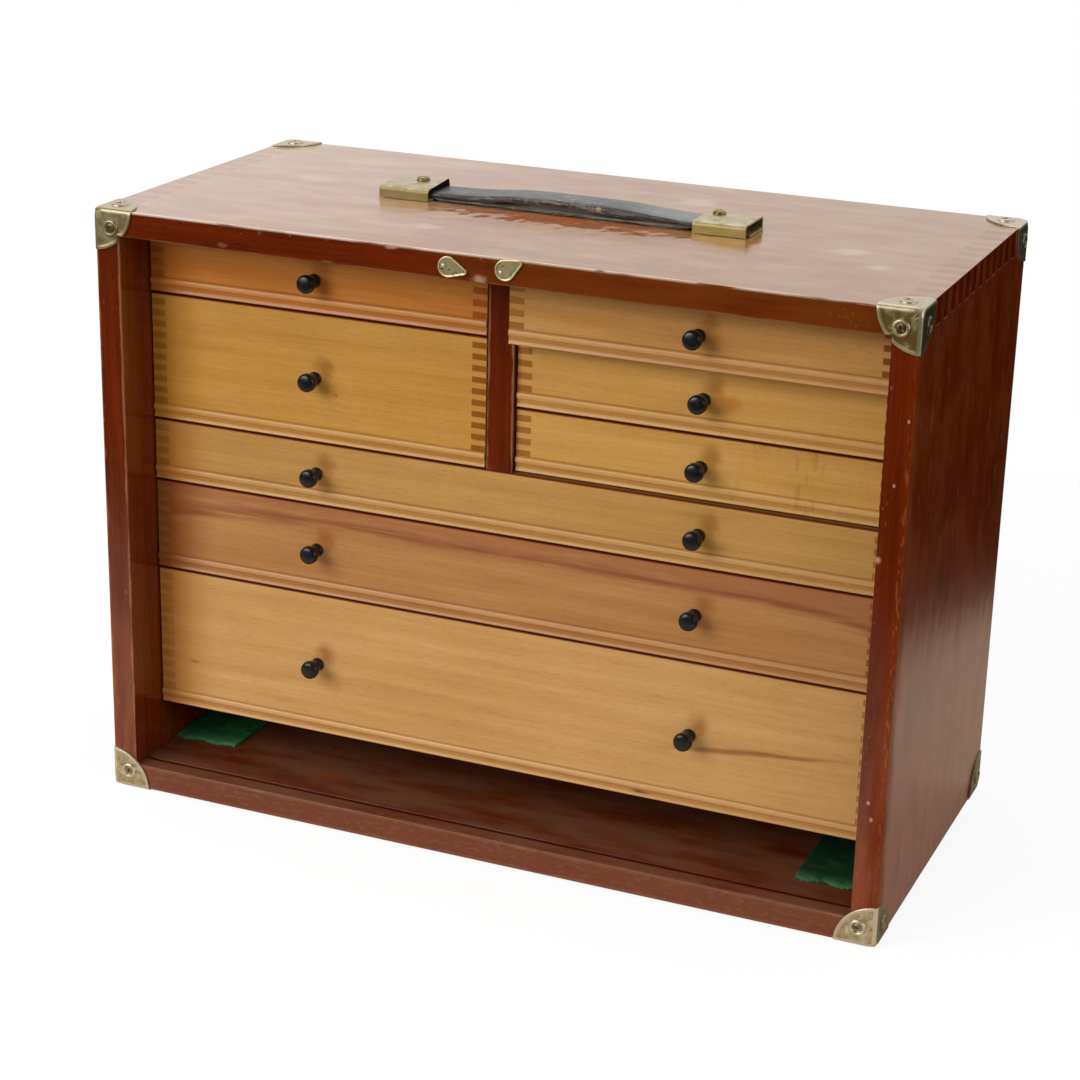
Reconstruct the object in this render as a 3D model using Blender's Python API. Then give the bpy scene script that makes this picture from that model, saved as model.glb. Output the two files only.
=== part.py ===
"""Watchmaker's tool chest: eight comb-jointed drawers in a comb-jointed carcass.

Metres, +Z up, the front towards -Y.  The origin is on the floor, under the middle of the carcass.
"""
import math

import bmesh
import bpy
from mathutils import Matrix, Vector

# Carcass, sizes over the wood
CHEST_WIDTH = 0.5064
CHEST_DEPTH = 0.2415
CHEST_HEIGHT = 0.3763
BOARD = 0.0156
CARCASS_FINGER = 0.0079
BACK_PANEL = 0.0060
BACK_REBATE = 0.0080
DIVIDER = 0.0165
DIVIDER_OFFSET = -0.0023
DIVIDER_HOUSING = 0.0050
PANEL_GROOVE_SETBACK = 0.0107
PANEL_GROOVE = 0.0030

# Clearances: faces at rest on each other, glued joints, running pieces
SEAT = 0.0003
JOINT_GAP = 0.0002
RUNNER_PLAY = 0.0003
DRAWER_GAP = 0.0012
DRAWER_SIDE_GAP = 0.0009
REAR_GAP = 0.0012

# Heights of the drawer rows, from the ceiling down; the lowest drawer takes what is left above the slot
TOP_ROW = 0.0403
LEFT_DEEP_ROW = 0.0806
RIGHT_MIDDLE_ROW = 0.0412
FIRST_FULL_ROW = 0.0400
SECOND_FULL_ROW = 0.0588
SLOT_HEIGHT = 0.0319

# Drawers
FRONT_RECESS = 0.0337
PUSH_PLAY = 0.0035
TOP_RIGHT_PULLED_OUT = 0.0102
FRONT = 0.0100
SIDE = 0.0090
BACK = 0.0080
DRAWER_FINGER = 0.0036
LAST_FINGER = 0.0060
BOTTOM = 0.0030
BOTTOM_RISE = 0.0042
BOTTOM_TONGUE = 0.0040
RUNNER_HEIGHT = 0.0055
RUNNER_DEPTH = 0.0035
RUNNER_STOP = 0.0015
MOULDING_HEIGHT = 0.0092
MOULDING_CROWN = 0.0013

# Knobs
KNOB_REACH = 0.0138
KNOB_RADIUS = 0.0057
KNOB_SPREAD = 0.1235

# Corner caps
CAP = 0.0008
CAP_REACH = 0.0252
CAP_TRIM = 0.0003
BOSS_RADIUS = 0.0053
BOSS_HEIGHT = 0.0009
BOSS_INSET = 0.0110

# Handle
STRAP_WIDTH = 0.0250
STRAP_SHIFT_X = -0.0009
STRAP_SHIFT_Y = 0.0054
GRIP_HALF = 0.0500
HINGE_HALF = 0.0840
GRIP_HEIGHT = 0.0088
TAIL_HEIGHT = 0.0052
LOWER_LAYER = 0.0026
SLIT_LEFT = 0.0440
SLIT_RIGHT = 0.0260
SLIT_TAPER = 0.0060
SLIT_HEIGHT = 0.0025
BRACKET_HALF_GAP = 0.0855
BRACKET_LENGTH = 0.0330
BRACKET_DEPTH = 0.0325
BRACKET_HEIGHT = 0.0075
BRACKET_SHEET = 0.0012
END_WIDTH = 0.0240
END_THICKNESS = 0.0016
END_SLOT = 0.0052
END_PAST = 0.0015
SCREW_LEFT = 0.0145
SCREW_RIGHT = 0.0083
SCREW_SHIFT = 0.0080
HANDLE_SHIFT = 0.0045
BRACKET_BEND = 0.0026

# Turn plates on the front edge of the top board
TURN_PLATE = 0.0010
TURN_RIM = 0.0013
TURN_RIM_HEIGHT = 0.0004
TURN_DISC_RADIUS = 0.0062
TURN_DISC_OFFSET = 0.0028
TURN_TIP_RADIUS = 0.0020
TURN_TIP_REACH = 0.0128
TURN_DROP = 0.0081
TURN_LEFT_X = -0.0238
TURN_RIGHT_X = 0.0117
TURN_LEFT_ANGLE = -11.0
TURN_RIGHT_ANGLE = 30.0

# Felt strips in the slot
FELT = 0.0016
FELT_WIDTH = 0.0440
FELT_LENGTH = 0.1500
FELT_LEFT_SETBACK = 0.0470
FELT_RIGHT_SETBACK = 0.0300

# Places that follow from the sizes above
WOOD_BOTTOM = CAP + SEAT
WOOD_TOP = WOOD_BOTTOM + CHEST_HEIGHT
FLOOR = WOOD_BOTTOM + BOARD
CEILING = WOOD_TOP - BOARD
INNER_X = CHEST_WIDTH / 2 - BOARD
WOOD_FRONT = -CHEST_DEPTH / 2
WOOD_BACK = CHEST_DEPTH / 2
BACK_FACE = WOOD_BACK - BACK_PANEL
FRONT_FACE = WOOD_FRONT + FRONT_RECESS
DIVIDER_LEFT = DIVIDER_OFFSET - DIVIDER / 2
DIVIDER_RIGHT = DIVIDER_OFFSET + DIVIDER / 2
SPLIT = CEILING - TOP_ROW - LEFT_DEEP_ROW
DRAWER_LENGTH = BACK_FACE - FRONT_FACE - PUSH_PLAY - REAR_GAP
RUNNER_FRONT = FRONT_FACE + FRONT + RUNNER_STOP + PUSH_PLAY + REAR_GAP

for old in list(bpy.data.objects):
    bpy.data.objects.remove(old, do_unlink=True)


def paint(name, colour, roughness, metallic=0.0):
    """A plain material; the colour is sRGB, 0 to 255."""
    material = bpy.data.materials.new(name)
    material.use_nodes = True
    shader = material.node_tree.nodes["Principled BSDF"]
    linear = []
    for channel in colour:
        value = channel / 255
        linear.append(value / 12.92 if value < 0.04045 else ((value + 0.055) / 1.055) ** 2.4)
    shader.inputs["Base Color"].default_value = (*linear, 1.0)
    shader.inputs["Roughness"].default_value = roughness
    shader.inputs["Metallic"].default_value = metallic
    return material


MAHOGANY = paint("mahogany_stained", (98, 44, 22), 0.35)
PINE = paint("drawer_pine", (184, 134, 70), 0.50)
PLY = paint("birch_plywood", (196, 160, 110), 0.60)
BRASS = paint("brass_aged", (190, 170, 110), 0.35, 1.0)
EBONISED = paint("ebonised_wood", (16, 16, 18), 0.25)
LEATHER = paint("leather_black", (34, 32, 32), 0.55)
FELT_GREEN = paint("felt_green", (18, 66, 36), 0.95)


def box(bm, low, high):
    """Adds a closed box between two corners."""
    spots = [Vector((x, y, z)) for z in (low[2], high[2]) for y in (low[1], high[1]) for x in (low[0], high[0])]
    v = [bm.verts.new(spot) for spot in spots]
    for face in ((0, 2, 3, 1), (4, 5, 7, 6), (0, 1, 5, 4), (2, 6, 7, 3), (0, 4, 6, 2), (1, 3, 7, 5)):
        bm.faces.new([v[i] for i in face])


def prism(bm, outline, start, end, axis):
    """Adds an outline drawn in the two other axes, in X, Y, Z order, and drawn out from start to end."""
    def at(point, depth):
        spot = list(point)
        spot.insert(axis, depth)
        return Vector(spot)
    lower = [bm.verts.new(at(point, start)) for point in outline]
    upper = [bm.verts.new(at(point, end)) for point in outline]
    faces = [bm.faces.new(lower[::-1]), bm.faces.new(upper)]
    for i in range(len(outline)):
        j = (i + 1) % len(outline)
        faces.append(bm.faces.new((lower[i], lower[j], upper[j], upper[i])))
    bmesh.ops.recalc_face_normals(bm, faces=faces)
    return faces


def lathe(bm, profile, sides, matrix):
    """Adds a turned solid from (radius, height) points; the first and last lie on the local Z axis."""
    ends = [bm.verts.new(matrix @ Vector((0, 0, profile[0][1]))), bm.verts.new(matrix @ Vector((0, 0, profile[-1][1])))]
    rings = []
    for radius, height in profile[1:-1]:
        turns = [math.tau * (k + 0.5) / sides for k in range(sides)]
        ring = [matrix @ Vector((radius * math.cos(t), radius * math.sin(t), height)) for t in turns]
        rings.append([bm.verts.new(spot) for spot in ring])
    faces = []
    for k in range(sides):
        n = (k + 1) % sides
        faces.append(bm.faces.new((ends[0], rings[0][n], rings[0][k])))
        faces.append(bm.faces.new((ends[1], rings[-1][k], rings[-1][n])))
        for low, high in zip(rings, rings[1:]):
            faces.append(bm.faces.new((low[k], low[n], high[n], high[k])))
    bmesh.ops.recalc_face_normals(bm, faces=faces)


def place(name, bm, material, parent=None, location=(0, 0, 0), rotation=(0, 0, 0), smooth=False):
    """Makes a named object from a bmesh."""
    mesh = bpy.data.meshes.new(name)
    bm.to_mesh(mesh)
    bm.free()
    mesh.materials.append(material)
    for face in mesh.polygons:
        face.use_smooth = smooth
    obj = bpy.data.objects.new(name, mesh)
    bpy.context.scene.collection.objects.link(obj)
    obj.parent = parent
    obj.location = location
    obj.rotation_euler = rotation
    return obj


def combine(obj, bm, operation):
    """Cuts a bmesh from an object, or joins it on, in the object's own axes, and keeps the result."""
    tool = place(obj.name + "_tool", bm, obj.data.materials[0])
    tool.matrix_world = obj.matrix_world
    bpy.context.view_layer.update()
    tool.matrix_world = obj.matrix_world
    step = obj.modifiers.new("step", "BOOLEAN")
    step.operation = operation
    step.solver = "EXACT"
    step.object = tool
    bpy.context.view_layer.update()
    shape = obj.evaluated_get(bpy.context.evaluated_depsgraph_get())
    mesh = bpy.data.meshes.new_from_object(shape)
    obj.modifiers.remove(step)
    before = obj.data
    obj.data = mesh
    bpy.data.meshes.remove(before)
    bpy.data.objects.remove(tool, do_unlink=True)
    mesh.name = obj.name


def pivot(name, location):
    """An empty that carries the pieces of one moving body."""
    empty = bpy.data.objects.new(name, None)
    bpy.context.scene.collection.objects.link(empty)
    empty.location = location
    empty.empty_display_size = 0.01
    bpy.context.view_layer.update()
    return empty


# Carcass boards, joined at the corners by fingers that run along the depth
finger_count = 2 * round((CHEST_DEPTH / CARCASS_FINGER - 1) / 2) + 1
finger = CHEST_DEPTH / finger_count


def comb_edge(even_reach, odd_reach, even_stands_out):
    """Points (y, reach) from front to back; the fingers that stand out are narrower by the joint gap."""
    points = []
    for i in range(finger_count):
        even = i % 2 == 0
        ease = -JOINT_GAP / 2 if even == even_stands_out else JOINT_GAP / 2
        start = WOOD_FRONT if i == 0 else WOOD_FRONT + i * finger - ease
        end = WOOD_BACK if i == finger_count - 1 else WOOD_FRONT + (i + 1) * finger + ease
        reach = even_reach if even else odd_reach
        points += [(start, reach), (end, reach)]
    return points


def back_rebate():
    """The space of the back panel, let into all four boards."""
    bm = bmesh.new()
    reach_x = INNER_X + BACK_REBATE
    low = (-reach_x, BACK_FACE - SEAT, FLOOR - BACK_REBATE)
    box(bm, low, (reach_x, WOOD_BACK + 0.002, CEILING + BACK_REBATE))
    return bm


def flat_board(name, low, high):
    """The top or bottom board: its even fingers reach the outside of the chest."""
    bm = bmesh.new()
    edge = comb_edge(CHEST_WIDTH / 2, INNER_X - JOINT_GAP, True)
    outline = [(x, y) for y, x in edge] + [(-x, y) for y, x in reversed(edge)]
    prism(bm, outline, low, high, 2)
    board = place(name, bm, MAHOGANY)
    combine(board, back_rebate(), "DIFFERENCE")
    return board


top_board = flat_board("top_board", CEILING, WOOD_TOP)
housing = bmesh.new()
box(housing, (DIVIDER_LEFT - SEAT, FRONT_FACE - SEAT, CEILING - 0.002),
    (DIVIDER_RIGHT + SEAT, BACK_FACE + 0.002, CEILING + DIVIDER_HOUSING))
combine(top_board, housing, "DIFFERENCE")

bottom_board = flat_board("bottom_board", WOOD_BOTTOM, FLOOR)
groove = bmesh.new()
groove_front = WOOD_FRONT + PANEL_GROOVE_SETBACK
groove_end = INNER_X - 0.004
box(groove, (-groove_end, groove_front, FLOOR - PANEL_GROOVE),
    (groove_end, groove_front + PANEL_GROOVE, FLOOR + 0.002))
combine(bottom_board, groove, "DIFFERENCE")

bm = bmesh.new()
reach_x = INNER_X + BACK_REBATE - SEAT
box(bm, (-reach_x, BACK_FACE, FLOOR - BACK_REBATE + SEAT), (reach_x, WOOD_BACK, CEILING + BACK_REBATE - SEAT))
place("back_panel", bm, MAHOGANY)


# Drawer rows: name, lower and upper height, left and right face, how far the drawer stands back
left_face = -INNER_X + DRAWER_SIDE_GAP
right_face = INNER_X - DRAWER_SIDE_GAP
left_stop = DIVIDER_LEFT - DRAWER_SIDE_GAP
right_stop = DIVIDER_RIGHT + DRAWER_SIDE_GAP
row_1 = CEILING - TOP_ROW
row_2 = row_1 - RIGHT_MIDDLE_ROW
full_1 = SPLIT - FIRST_FULL_ROW
full_2 = full_1 - SECOND_FULL_ROW
full_3 = FLOOR + SLOT_HEIGHT
DRAWERS = (
    ("left_upper", row_1, CEILING, left_face, left_stop, 0.0),
    ("left_deep", SPLIT, row_1, left_face, left_stop, 0.0),
    ("right_upper", row_1, CEILING, right_stop, right_face, -TOP_RIGHT_PULLED_OUT),
    ("right_middle", row_2, row_1, right_stop, right_face, PUSH_PLAY),
    ("right_lower", SPLIT, row_2, right_stop, right_face, PUSH_PLAY),
    ("full_upper", full_1, SPLIT, left_face, right_face, 0.0),
    ("full_middle", full_2, full_1, left_face, right_face, 0.0),
    ("full_lower", full_3, full_2, left_face, right_face, 0.0),
)


def add_runners(board, face, outward, columns):
    """Joins runner strips onto an upright: face is its drawer side, outward the way the strips stand out."""
    bm = bmesh.new()
    ends = sorted((face - outward * 0.001, face + outward * (DRAWER_SIDE_GAP + RUNNER_DEPTH)))
    for name, low, high, left, right, back in DRAWERS:
        if name.split("_")[0] in columns:
            middle = (low + high - DRAWER_GAP) / 2
            box(bm, (ends[0], RUNNER_FRONT, middle - RUNNER_HEIGHT / 2),
                (ends[1], BACK_FACE - 2 * SEAT, middle + RUNNER_HEIGHT / 2))
    combine(board, bm, "UNION")


for name, hand in (("left", -1), ("right", 1)):
    bm = bmesh.new()
    lower = comb_edge(FLOOR + JOINT_GAP, WOOD_BOTTOM, False)
    upper = comb_edge(CEILING - JOINT_GAP, WOOD_TOP, False)
    ends = sorted((hand * INNER_X, hand * CHEST_WIDTH / 2))
    prism(bm, lower + upper[::-1], ends[0], ends[1], 0)
    board = place(name + "_side", bm, MAHOGANY)
    combine(board, back_rebate(), "DIFFERENCE")
    add_runners(board, hand * INNER_X, -hand, (name, "full"))

bm = bmesh.new()
box(bm, (DIVIDER_LEFT, FRONT_FACE, SPLIT - DRAWER_GAP / 2),
    (DIVIDER_RIGHT, BACK_FACE - SEAT, CEILING + DIVIDER_HOUSING - SEAT))
divider = place("centre_divider", bm, MAHOGANY)
add_runners(divider, DIVIDER_LEFT, -1, ("left",))
add_runners(divider, DIVIDER_RIGHT, 1, ("right",))


# Drawers: a front with a moulded lower edge, sides and back in one, and a plywood bottom
def comb_heights(height):
    """Finger limits down the end of a drawer front; the first belongs to the front, the last to the side."""
    count = 2 * round(((height - LAST_FINGER) / DRAWER_FINGER - 1) / 2) + 1
    step = (height - LAST_FINGER) / count
    return [height - i * step for i in range(count + 1)] + [0.0]


def drawer_front(name, half, height, parent):
    limits = comb_heights(height)
    edge = []
    for i in range(len(limits) - 1):
        own = i % 2 == 0
        ease = -JOINT_GAP / 2 if own else JOINT_GAP / 2
        upper = height if i == 0 else limits[i] + ease
        lower = 0.0 if i == len(limits) - 2 else limits[i + 1] - ease
        reach = half if own else half - SIDE - JOINT_GAP
        edge += [(reach, upper), (reach, lower)]
    bm = bmesh.new()
    prism(bm, edge + [(-x, z) for x, z in reversed(edge)], 0.0, FRONT, 1)
    front = place(name + "_front", bm, PINE, parent)
    combine(front, bottom_slot(half), "DIFFERENCE")
    bm = bmesh.new()
    crown = -MOULDING_CROWN
    profile = [(0.002, MOULDING_HEIGHT), (-0.0001, MOULDING_HEIGHT), (crown * 0.8, MOULDING_HEIGHT * 0.87)]
    profile += [(crown, MOULDING_HEIGHT * 0.74), (crown * 0.8, MOULDING_HEIGHT * 0.61)]
    profile += [(crown * 0.25, MOULDING_HEIGHT * 0.50), (crown * 0.12, MOULDING_HEIGHT * 0.38)]
    profile += [(crown * 0.3, MOULDING_HEIGHT * 0.22), (crown * 0.7, MOULDING_HEIGHT * 0.08)]
    profile += [(crown * 0.7, 0.0003), (0.002, 0.0003)]
    reach = half - SIDE - JOINT_GAP - 0.0003
    prism(bm, profile, -reach, reach, 0)
    combine(front, bm, "UNION")
    return front


def bottom_slot(half):
    """The slot for the plywood bottom, in the front, the sides and the back."""
    bm = bmesh.new()
    reach = half - SIDE + BOTTOM_TONGUE + JOINT_GAP
    box(bm, (-reach, FRONT - BOTTOM_TONGUE - JOINT_GAP, BOTTOM_RISE - JOINT_GAP),
        (reach, DRAWER_LENGTH - BACK + BOTTOM_TONGUE + JOINT_GAP, BOTTOM_RISE + BOTTOM + JOINT_GAP))
    return bm


def drawer_box(name, half, height, parent):
    bm = bmesh.new()
    inner = half - SIDE
    rear = DRAWER_LENGTH - BACK
    outline = [(-half, 0), (-inner, 0), (-inner, rear), (inner, rear), (inner, 0), (half, 0)]
    outline += [(half, DRAWER_LENGTH), (-half, DRAWER_LENGTH)]
    prism(bm, outline, 0.0, height, 2)
    shell = place(name + "_box", bm, PINE, parent)
    bm = bmesh.new()
    limits = comb_heights(height)
    for hand in (-1, 1):
        for i in range(0, len(limits) - 2, 2):
            upper = height + 0.002 if i == 0 else limits[i] + JOINT_GAP / 2
            lower = limits[i + 1] - JOINT_GAP / 2
            ends = sorted((hand * (inner - 0.002), hand * (half + 0.002)))
            box(bm, (ends[0], -0.002, lower), (ends[1], FRONT + JOINT_GAP, upper))
        ends = sorted((hand * (half - RUNNER_DEPTH - RUNNER_PLAY), hand * (half + 0.002)))
        reach = RUNNER_HEIGHT / 2 + RUNNER_PLAY
        box(bm, (ends[0], FRONT + RUNNER_STOP, height / 2 - reach),
            (ends[1], DRAWER_LENGTH + 0.002, height / 2 + reach))
    combine(shell, bm, "DIFFERENCE")
    combine(shell, bottom_slot(half), "DIFFERENCE")


KNOB_PROFILE = ((0.0, 0.0), (0.74, 0.0), (0.58, 0.22), (0.66, 0.42), (0.98, 0.64), (1.0, 0.84), (0.86, 0.955),
                (0.0, 1.0))


def knob(name, x, height, parent):
    """A turned knob that stands out towards -Y from the middle of a front."""
    bm = bmesh.new()
    profile = [(KNOB_RADIUS * radius, KNOB_REACH * reach) for radius, reach in KNOB_PROFILE]
    lathe(bm, profile, 18, Matrix.Rotation(math.radians(90), 4, "X"))
    place(name, bm, EBONISED, parent, (x, -SEAT, height / 2), smooth=True)


for name, low, high, left, right, back in DRAWERS:
    half = (right - left) / 2
    height = high - low - DRAWER_GAP
    slide = pivot(name + "_slide", ((left + right) / 2, FRONT_FACE + back, low))
    drawer_front(name, half, height, slide)
    drawer_box(name, half, height, slide)
    bm = bmesh.new()
    reach = half - SIDE + BOTTOM_TONGUE
    box(bm, (-reach, FRONT - BOTTOM_TONGUE, BOTTOM_RISE),
        (reach, DRAWER_LENGTH - BACK + BOTTOM_TONGUE, BOTTOM_RISE + BOTTOM))
    place(name + "_bottom", bm, PLY, slide)
    if name.startswith("full"):
        knob(name + "_knob_left", -KNOB_SPREAD, height, slide)
        knob(name + "_knob_right", KNOB_SPREAD, height, slide)
    else:
        knob(name + "_knob", 0.0, height, slide)


# Corner caps: three quarter-round flanges over each corner, with raised screw bosses.
# The front ones are nicked where they would cover the corner of the opening and stop a drawer.
def corner_cap(name, sx, sy, sz):
    """Drawn for the corner at +X, +Y, +Z with the wood on the negative sides, then mirrored into place."""
    bm = bmesh.new()
    spots = {}

    def vert(*point):
        key = tuple(round(value, 7) for value in point)
        if key not in spots:
            spots[key] = bm.verts.new(point)
        return spots[key]

    def on(axis, depth, u, v):
        point = [u, v]
        point.insert(axis, depth)
        return vert(*point)

    arc = [math.radians(90 * k / 7) for k in range(8)]
    rim = [(-CAP_REACH * math.cos(t), -CAP_REACH * math.sin(t)) for t in arc]
    rim[0] = (-CAP_REACH, 0.0)
    rim[-1] = (0.0, -CAP_REACH)
    for axis in range(3):
        bm.faces.new([on(axis, CAP, *p) for p in [(CAP, CAP), (-CAP_REACH, CAP)] + rim + [(CAP, -CAP_REACH)]])
        bm.faces.new([on(axis, 0.0, *p) for p in [(0.0, 0.0)] + rim])
        for a, b in zip(rim, rim[1:]):
            bm.faces.new((on(axis, 0.0, *a), on(axis, 0.0, *b), on(axis, CAP, *b), on(axis, CAP, *a)))
        bm.faces.new([on(axis, -CAP_REACH, *p) for p in ((0.0, 0.0), (0.0, CAP), (CAP, CAP), (CAP, 0.0))])
    bmesh.ops.recalc_face_normals(bm, faces=bm.faces)
    bosses = bmesh.new()
    profile = ((0.0, -CAP / 2), (BOSS_RADIUS, -CAP / 2), (BOSS_RADIUS * 0.85, BOSS_HEIGHT),
               (BOSS_RADIUS * 0.62, BOSS_HEIGHT), (BOSS_RADIUS * 0.5, BOSS_HEIGHT * 0.3), (0.0, BOSS_HEIGHT * 0.3))
    turns = (Matrix.Rotation(math.radians(90), 4, "Y"), Matrix.Rotation(math.radians(-90), 4, "X"), Matrix())
    for axis in range(3):
        if axis == 2 and sz < 0:
            continue
        centre = Vector((-BOSS_INSET, -BOSS_INSET, -BOSS_INSET))
        centre[axis] = CAP
        lathe(bosses, profile, 12, Matrix.Translation(centre) @ turns[axis])
    hand = Matrix.Diagonal((sx, sy, sz, 1.0))
    for part in (bm, bosses):
        bmesh.ops.transform(part, matrix=hand, verts=part.verts)
        if sx * sy * sz < 0:
            bmesh.ops.reverse_faces(part, faces=part.faces)
    level = WOOD_TOP + SEAT if sz > 0 else WOOD_BOTTOM - SEAT
    corner = (sx * (CHEST_WIDTH / 2 + SEAT), sy * (CHEST_DEPTH / 2 + SEAT), level)
    cap = place(name, bm, BRASS, None, corner)
    bpy.context.view_layer.update()
    combine(cap, bosses, "UNION")
    if sy < 0:
        clear = bmesh.new()
        past = -sx * 2 * CAP_REACH, -sz * 2 * CAP_REACH
        inside = -sx * (BOARD + SEAT - CAP_TRIM), -sz * (BOARD + SEAT - CAP_TRIM)
        across = sorted((inside[0], past[0]))
        upward = sorted((inside[1], past[1]))
        box(clear, (across[0], -2 * BOSS_HEIGHT - CAP, upward[0]), (across[1], BOSS_HEIGHT, upward[1]))
        combine(cap, clear, "DIFFERENCE")


for level, sz in (("top", 1), ("bottom", -1)):
    for depth, sy in (("front", -1), ("back", 1)):
        for side, sx in (("left", -1), ("right", 1)):
            corner_cap(f"cap_{level}_{depth}_{side}", sx, sy, sz)


# Handle: a leather grip that rises, two tails hinged to it, and brass ends that slide in two brackets
def loft(bm, sections):
    """Joins rings of the same count of points into a closed solid."""
    rings = [[bm.verts.new(point) for point in section] for section in sections]
    faces = [bm.faces.new(rings[0]), bm.faces.new(rings[-1])]
    for low, high in zip(rings, rings[1:]):
        for i in range(len(low)):
            j = (i + 1) % len(low)
            faces.append(bm.faces.new((low[i], low[j], high[j], high[i])))
    bmesh.ops.recalc_face_normals(bm, faces=faces)


def padded_section(x, height):
    """A strap section square to X: flat below, rounded over the top."""
    w = STRAP_WIDTH / 2
    half = [(w, 0.0), (w, height * 0.55), (w * 0.92, height * 0.86), (w * 0.6, height)]
    ring = half + [(-y, z) for y, z in reversed(half)]
    return [(x, y, z) for y, z in ring]


handle_z = WOOD_TOP + SEAT
grip = pivot("handle_grip_pivot", (STRAP_SHIFT_X, STRAP_SHIFT_Y, handle_z))
bm = bmesh.new()
end = GRIP_HALF - SEAT / 2
GRIP_LINE = ((-1.0, 0.68), (-0.84, 0.84), (-0.6, 0.97), (-0.24, 1.0), (0.56, 1.0), (0.8, 0.94), (1.0, 0.84))
loft(bm, [padded_section(end * along, GRIP_HEIGHT * share) for along, share in GRIP_LINE])
grip_strap = place("handle_grip", bm, LEATHER, grip)
bm = bmesh.new()
low = LOWER_LAYER
high = LOWER_LAYER + SLIT_HEIGHT
tip = LOWER_LAYER + SLIT_HEIGHT / 5
slit = [(-SLIT_LEFT, tip), (-SLIT_LEFT + SLIT_TAPER, low), (SLIT_RIGHT - SLIT_TAPER, low), (SLIT_RIGHT, tip)]
slit += [(SLIT_RIGHT - SLIT_TAPER, high), (-SLIT_LEFT + 2 * SLIT_TAPER, high)]
prism(bm, slit, -STRAP_WIDTH, STRAP_WIDTH, 1)
combine(grip_strap, bm, "DIFFERENCE")

TAILS = (("left", -1, GRIP_HEIGHT * 0.68, SCREW_LEFT), ("right", 1, GRIP_HEIGHT * 0.84, SCREW_RIGHT))
for name, hand, inner_height, screw in TAILS:
    tail = pivot(f"handle_tail_{name}_pivot", (STRAP_SHIFT_X + hand * GRIP_HALF, STRAP_SHIFT_Y, handle_z))
    bm = bmesh.new()
    inner = SEAT / 2
    outer = HINGE_HALF - GRIP_HALF - SEAT / 2
    line = ((inner, inner_height), (0.3 * outer, (inner_height + 2 * TAIL_HEIGHT) / 3), (outer, TAIL_HEIGHT))
    loft(bm, [padded_section(hand * x, height) for x, height in line])
    place(f"handle_tail_{name}", bm, LEATHER, tail)

    plate_top = END_THICKNESS + JOINT_GAP
    end = pivot(f"handle_end_{name}_pivot",
                (STRAP_SHIFT_X + hand * HINGE_HALF, STRAP_SHIFT_Y, handle_z + plate_top))
    bm = bmesh.new()
    reach = BRACKET_HALF_GAP + BRACKET_LENGTH + END_PAST - HINGE_HALF
    ends = sorted((hand * SEAT / 2, hand * reach))
    w = END_WIDTH / 2
    box(bm, (ends[0], -w, -plate_top), (ends[1], w, -JOINT_GAP))
    plate = place(f"handle_end_{name}", bm, BRASS, end)
    bm = bmesh.new()
    near = BRACKET_HALF_GAP + screw - HINGE_HALF - END_SLOT / 2
    ends = sorted((hand * near, hand * (near + END_SLOT + HANDLE_SHIFT)))
    box(bm, (ends[0], SCREW_SHIFT - END_SLOT / 2, -plate_top - 0.002),
        (ends[1], SCREW_SHIFT + END_SLOT / 2, 0.002))
    combine(plate, bm, "DIFFERENCE")

    bm = bmesh.new()
    half = BRACKET_DEPTH / 2
    bend = [math.radians(90 * k / 4) for k in range(5)]

    def hoop(inset):
        """One side of the bracket's section, from its foot over the bend to the top."""
        r = BRACKET_BEND - inset
        centre = (half - BRACKET_BEND, BRACKET_HEIGHT - BRACKET_BEND)
        points = [(half - inset, 0.0)]
        points += [(centre[0] + r * math.cos(t), centre[1] + r * math.sin(t)) for t in bend]
        return points

    outer = hoop(0.0)
    inner = hoop(BRACKET_SHEET)
    outline = outer + [(-y, z) for y, z in reversed(outer)] + [(-y, z) for y, z in inner] + inner[::-1]
    ends = sorted((hand * BRACKET_HALF_GAP, hand * (BRACKET_HALF_GAP + BRACKET_LENGTH)))
    prism(bm, outline, ends[0], ends[1], 0)
    place(f"handle_bracket_{name}", bm, BRASS, None, (STRAP_SHIFT_X, STRAP_SHIFT_Y, handle_z))


# Turn plates: rimmed brass drops, each on one pin
def turn_plate(name, x, angle):
    bm = bmesh.new()
    span = TURN_TIP_REACH - TURN_DISC_OFFSET
    meet = math.acos((TURN_DISC_RADIUS - TURN_TIP_RADIUS) / span)
    outline = []
    for k in range(15):
        t = meet + (math.tau - 2 * meet) * k / 14
        outline.append((TURN_DISC_OFFSET + TURN_DISC_RADIUS * math.cos(t), TURN_DISC_RADIUS * math.sin(t)))
    for k in range(5):
        t = -meet + 2 * meet * k / 4
        outline.append((TURN_TIP_REACH + TURN_TIP_RADIUS * math.cos(t), TURN_TIP_RADIUS * math.sin(t)))
    faces = prism(bm, outline, -TURN_PLATE, 0.0, 1)
    bmesh.ops.inset_region(bm, faces=[faces[0]], thickness=TURN_RIM, use_even_offset=True)
    for v in faces[0].verts:
        v.co.y += TURN_RIM_HEIGHT
    turn = (0, math.radians(-angle), 0)
    place(name, bm, BRASS, None, (x, WOOD_FRONT - SEAT, WOOD_TOP - TURN_DROP), turn)


turn_plate("turn_plate_left", TURN_LEFT_X, TURN_LEFT_ANGLE)
turn_plate("turn_plate_right", TURN_RIGHT_X, TURN_RIGHT_ANGLE)

# Felt strips on the floor of the slot, one along each side
for name, hand, setback in (("left", -1, FELT_LEFT_SETBACK), ("right", 1, FELT_RIGHT_SETBACK)):
    bm = bmesh.new()
    ends = sorted((hand * (INNER_X - SEAT), hand * (INNER_X - FELT_WIDTH)))
    front = WOOD_FRONT + setback
    box(bm, (ends[0], front, FLOOR + SEAT), (ends[1], front + FELT_LENGTH, FLOOR + SEAT + FELT))
    place(f"felt_{name}", bm, FELT_GREEN)
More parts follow.
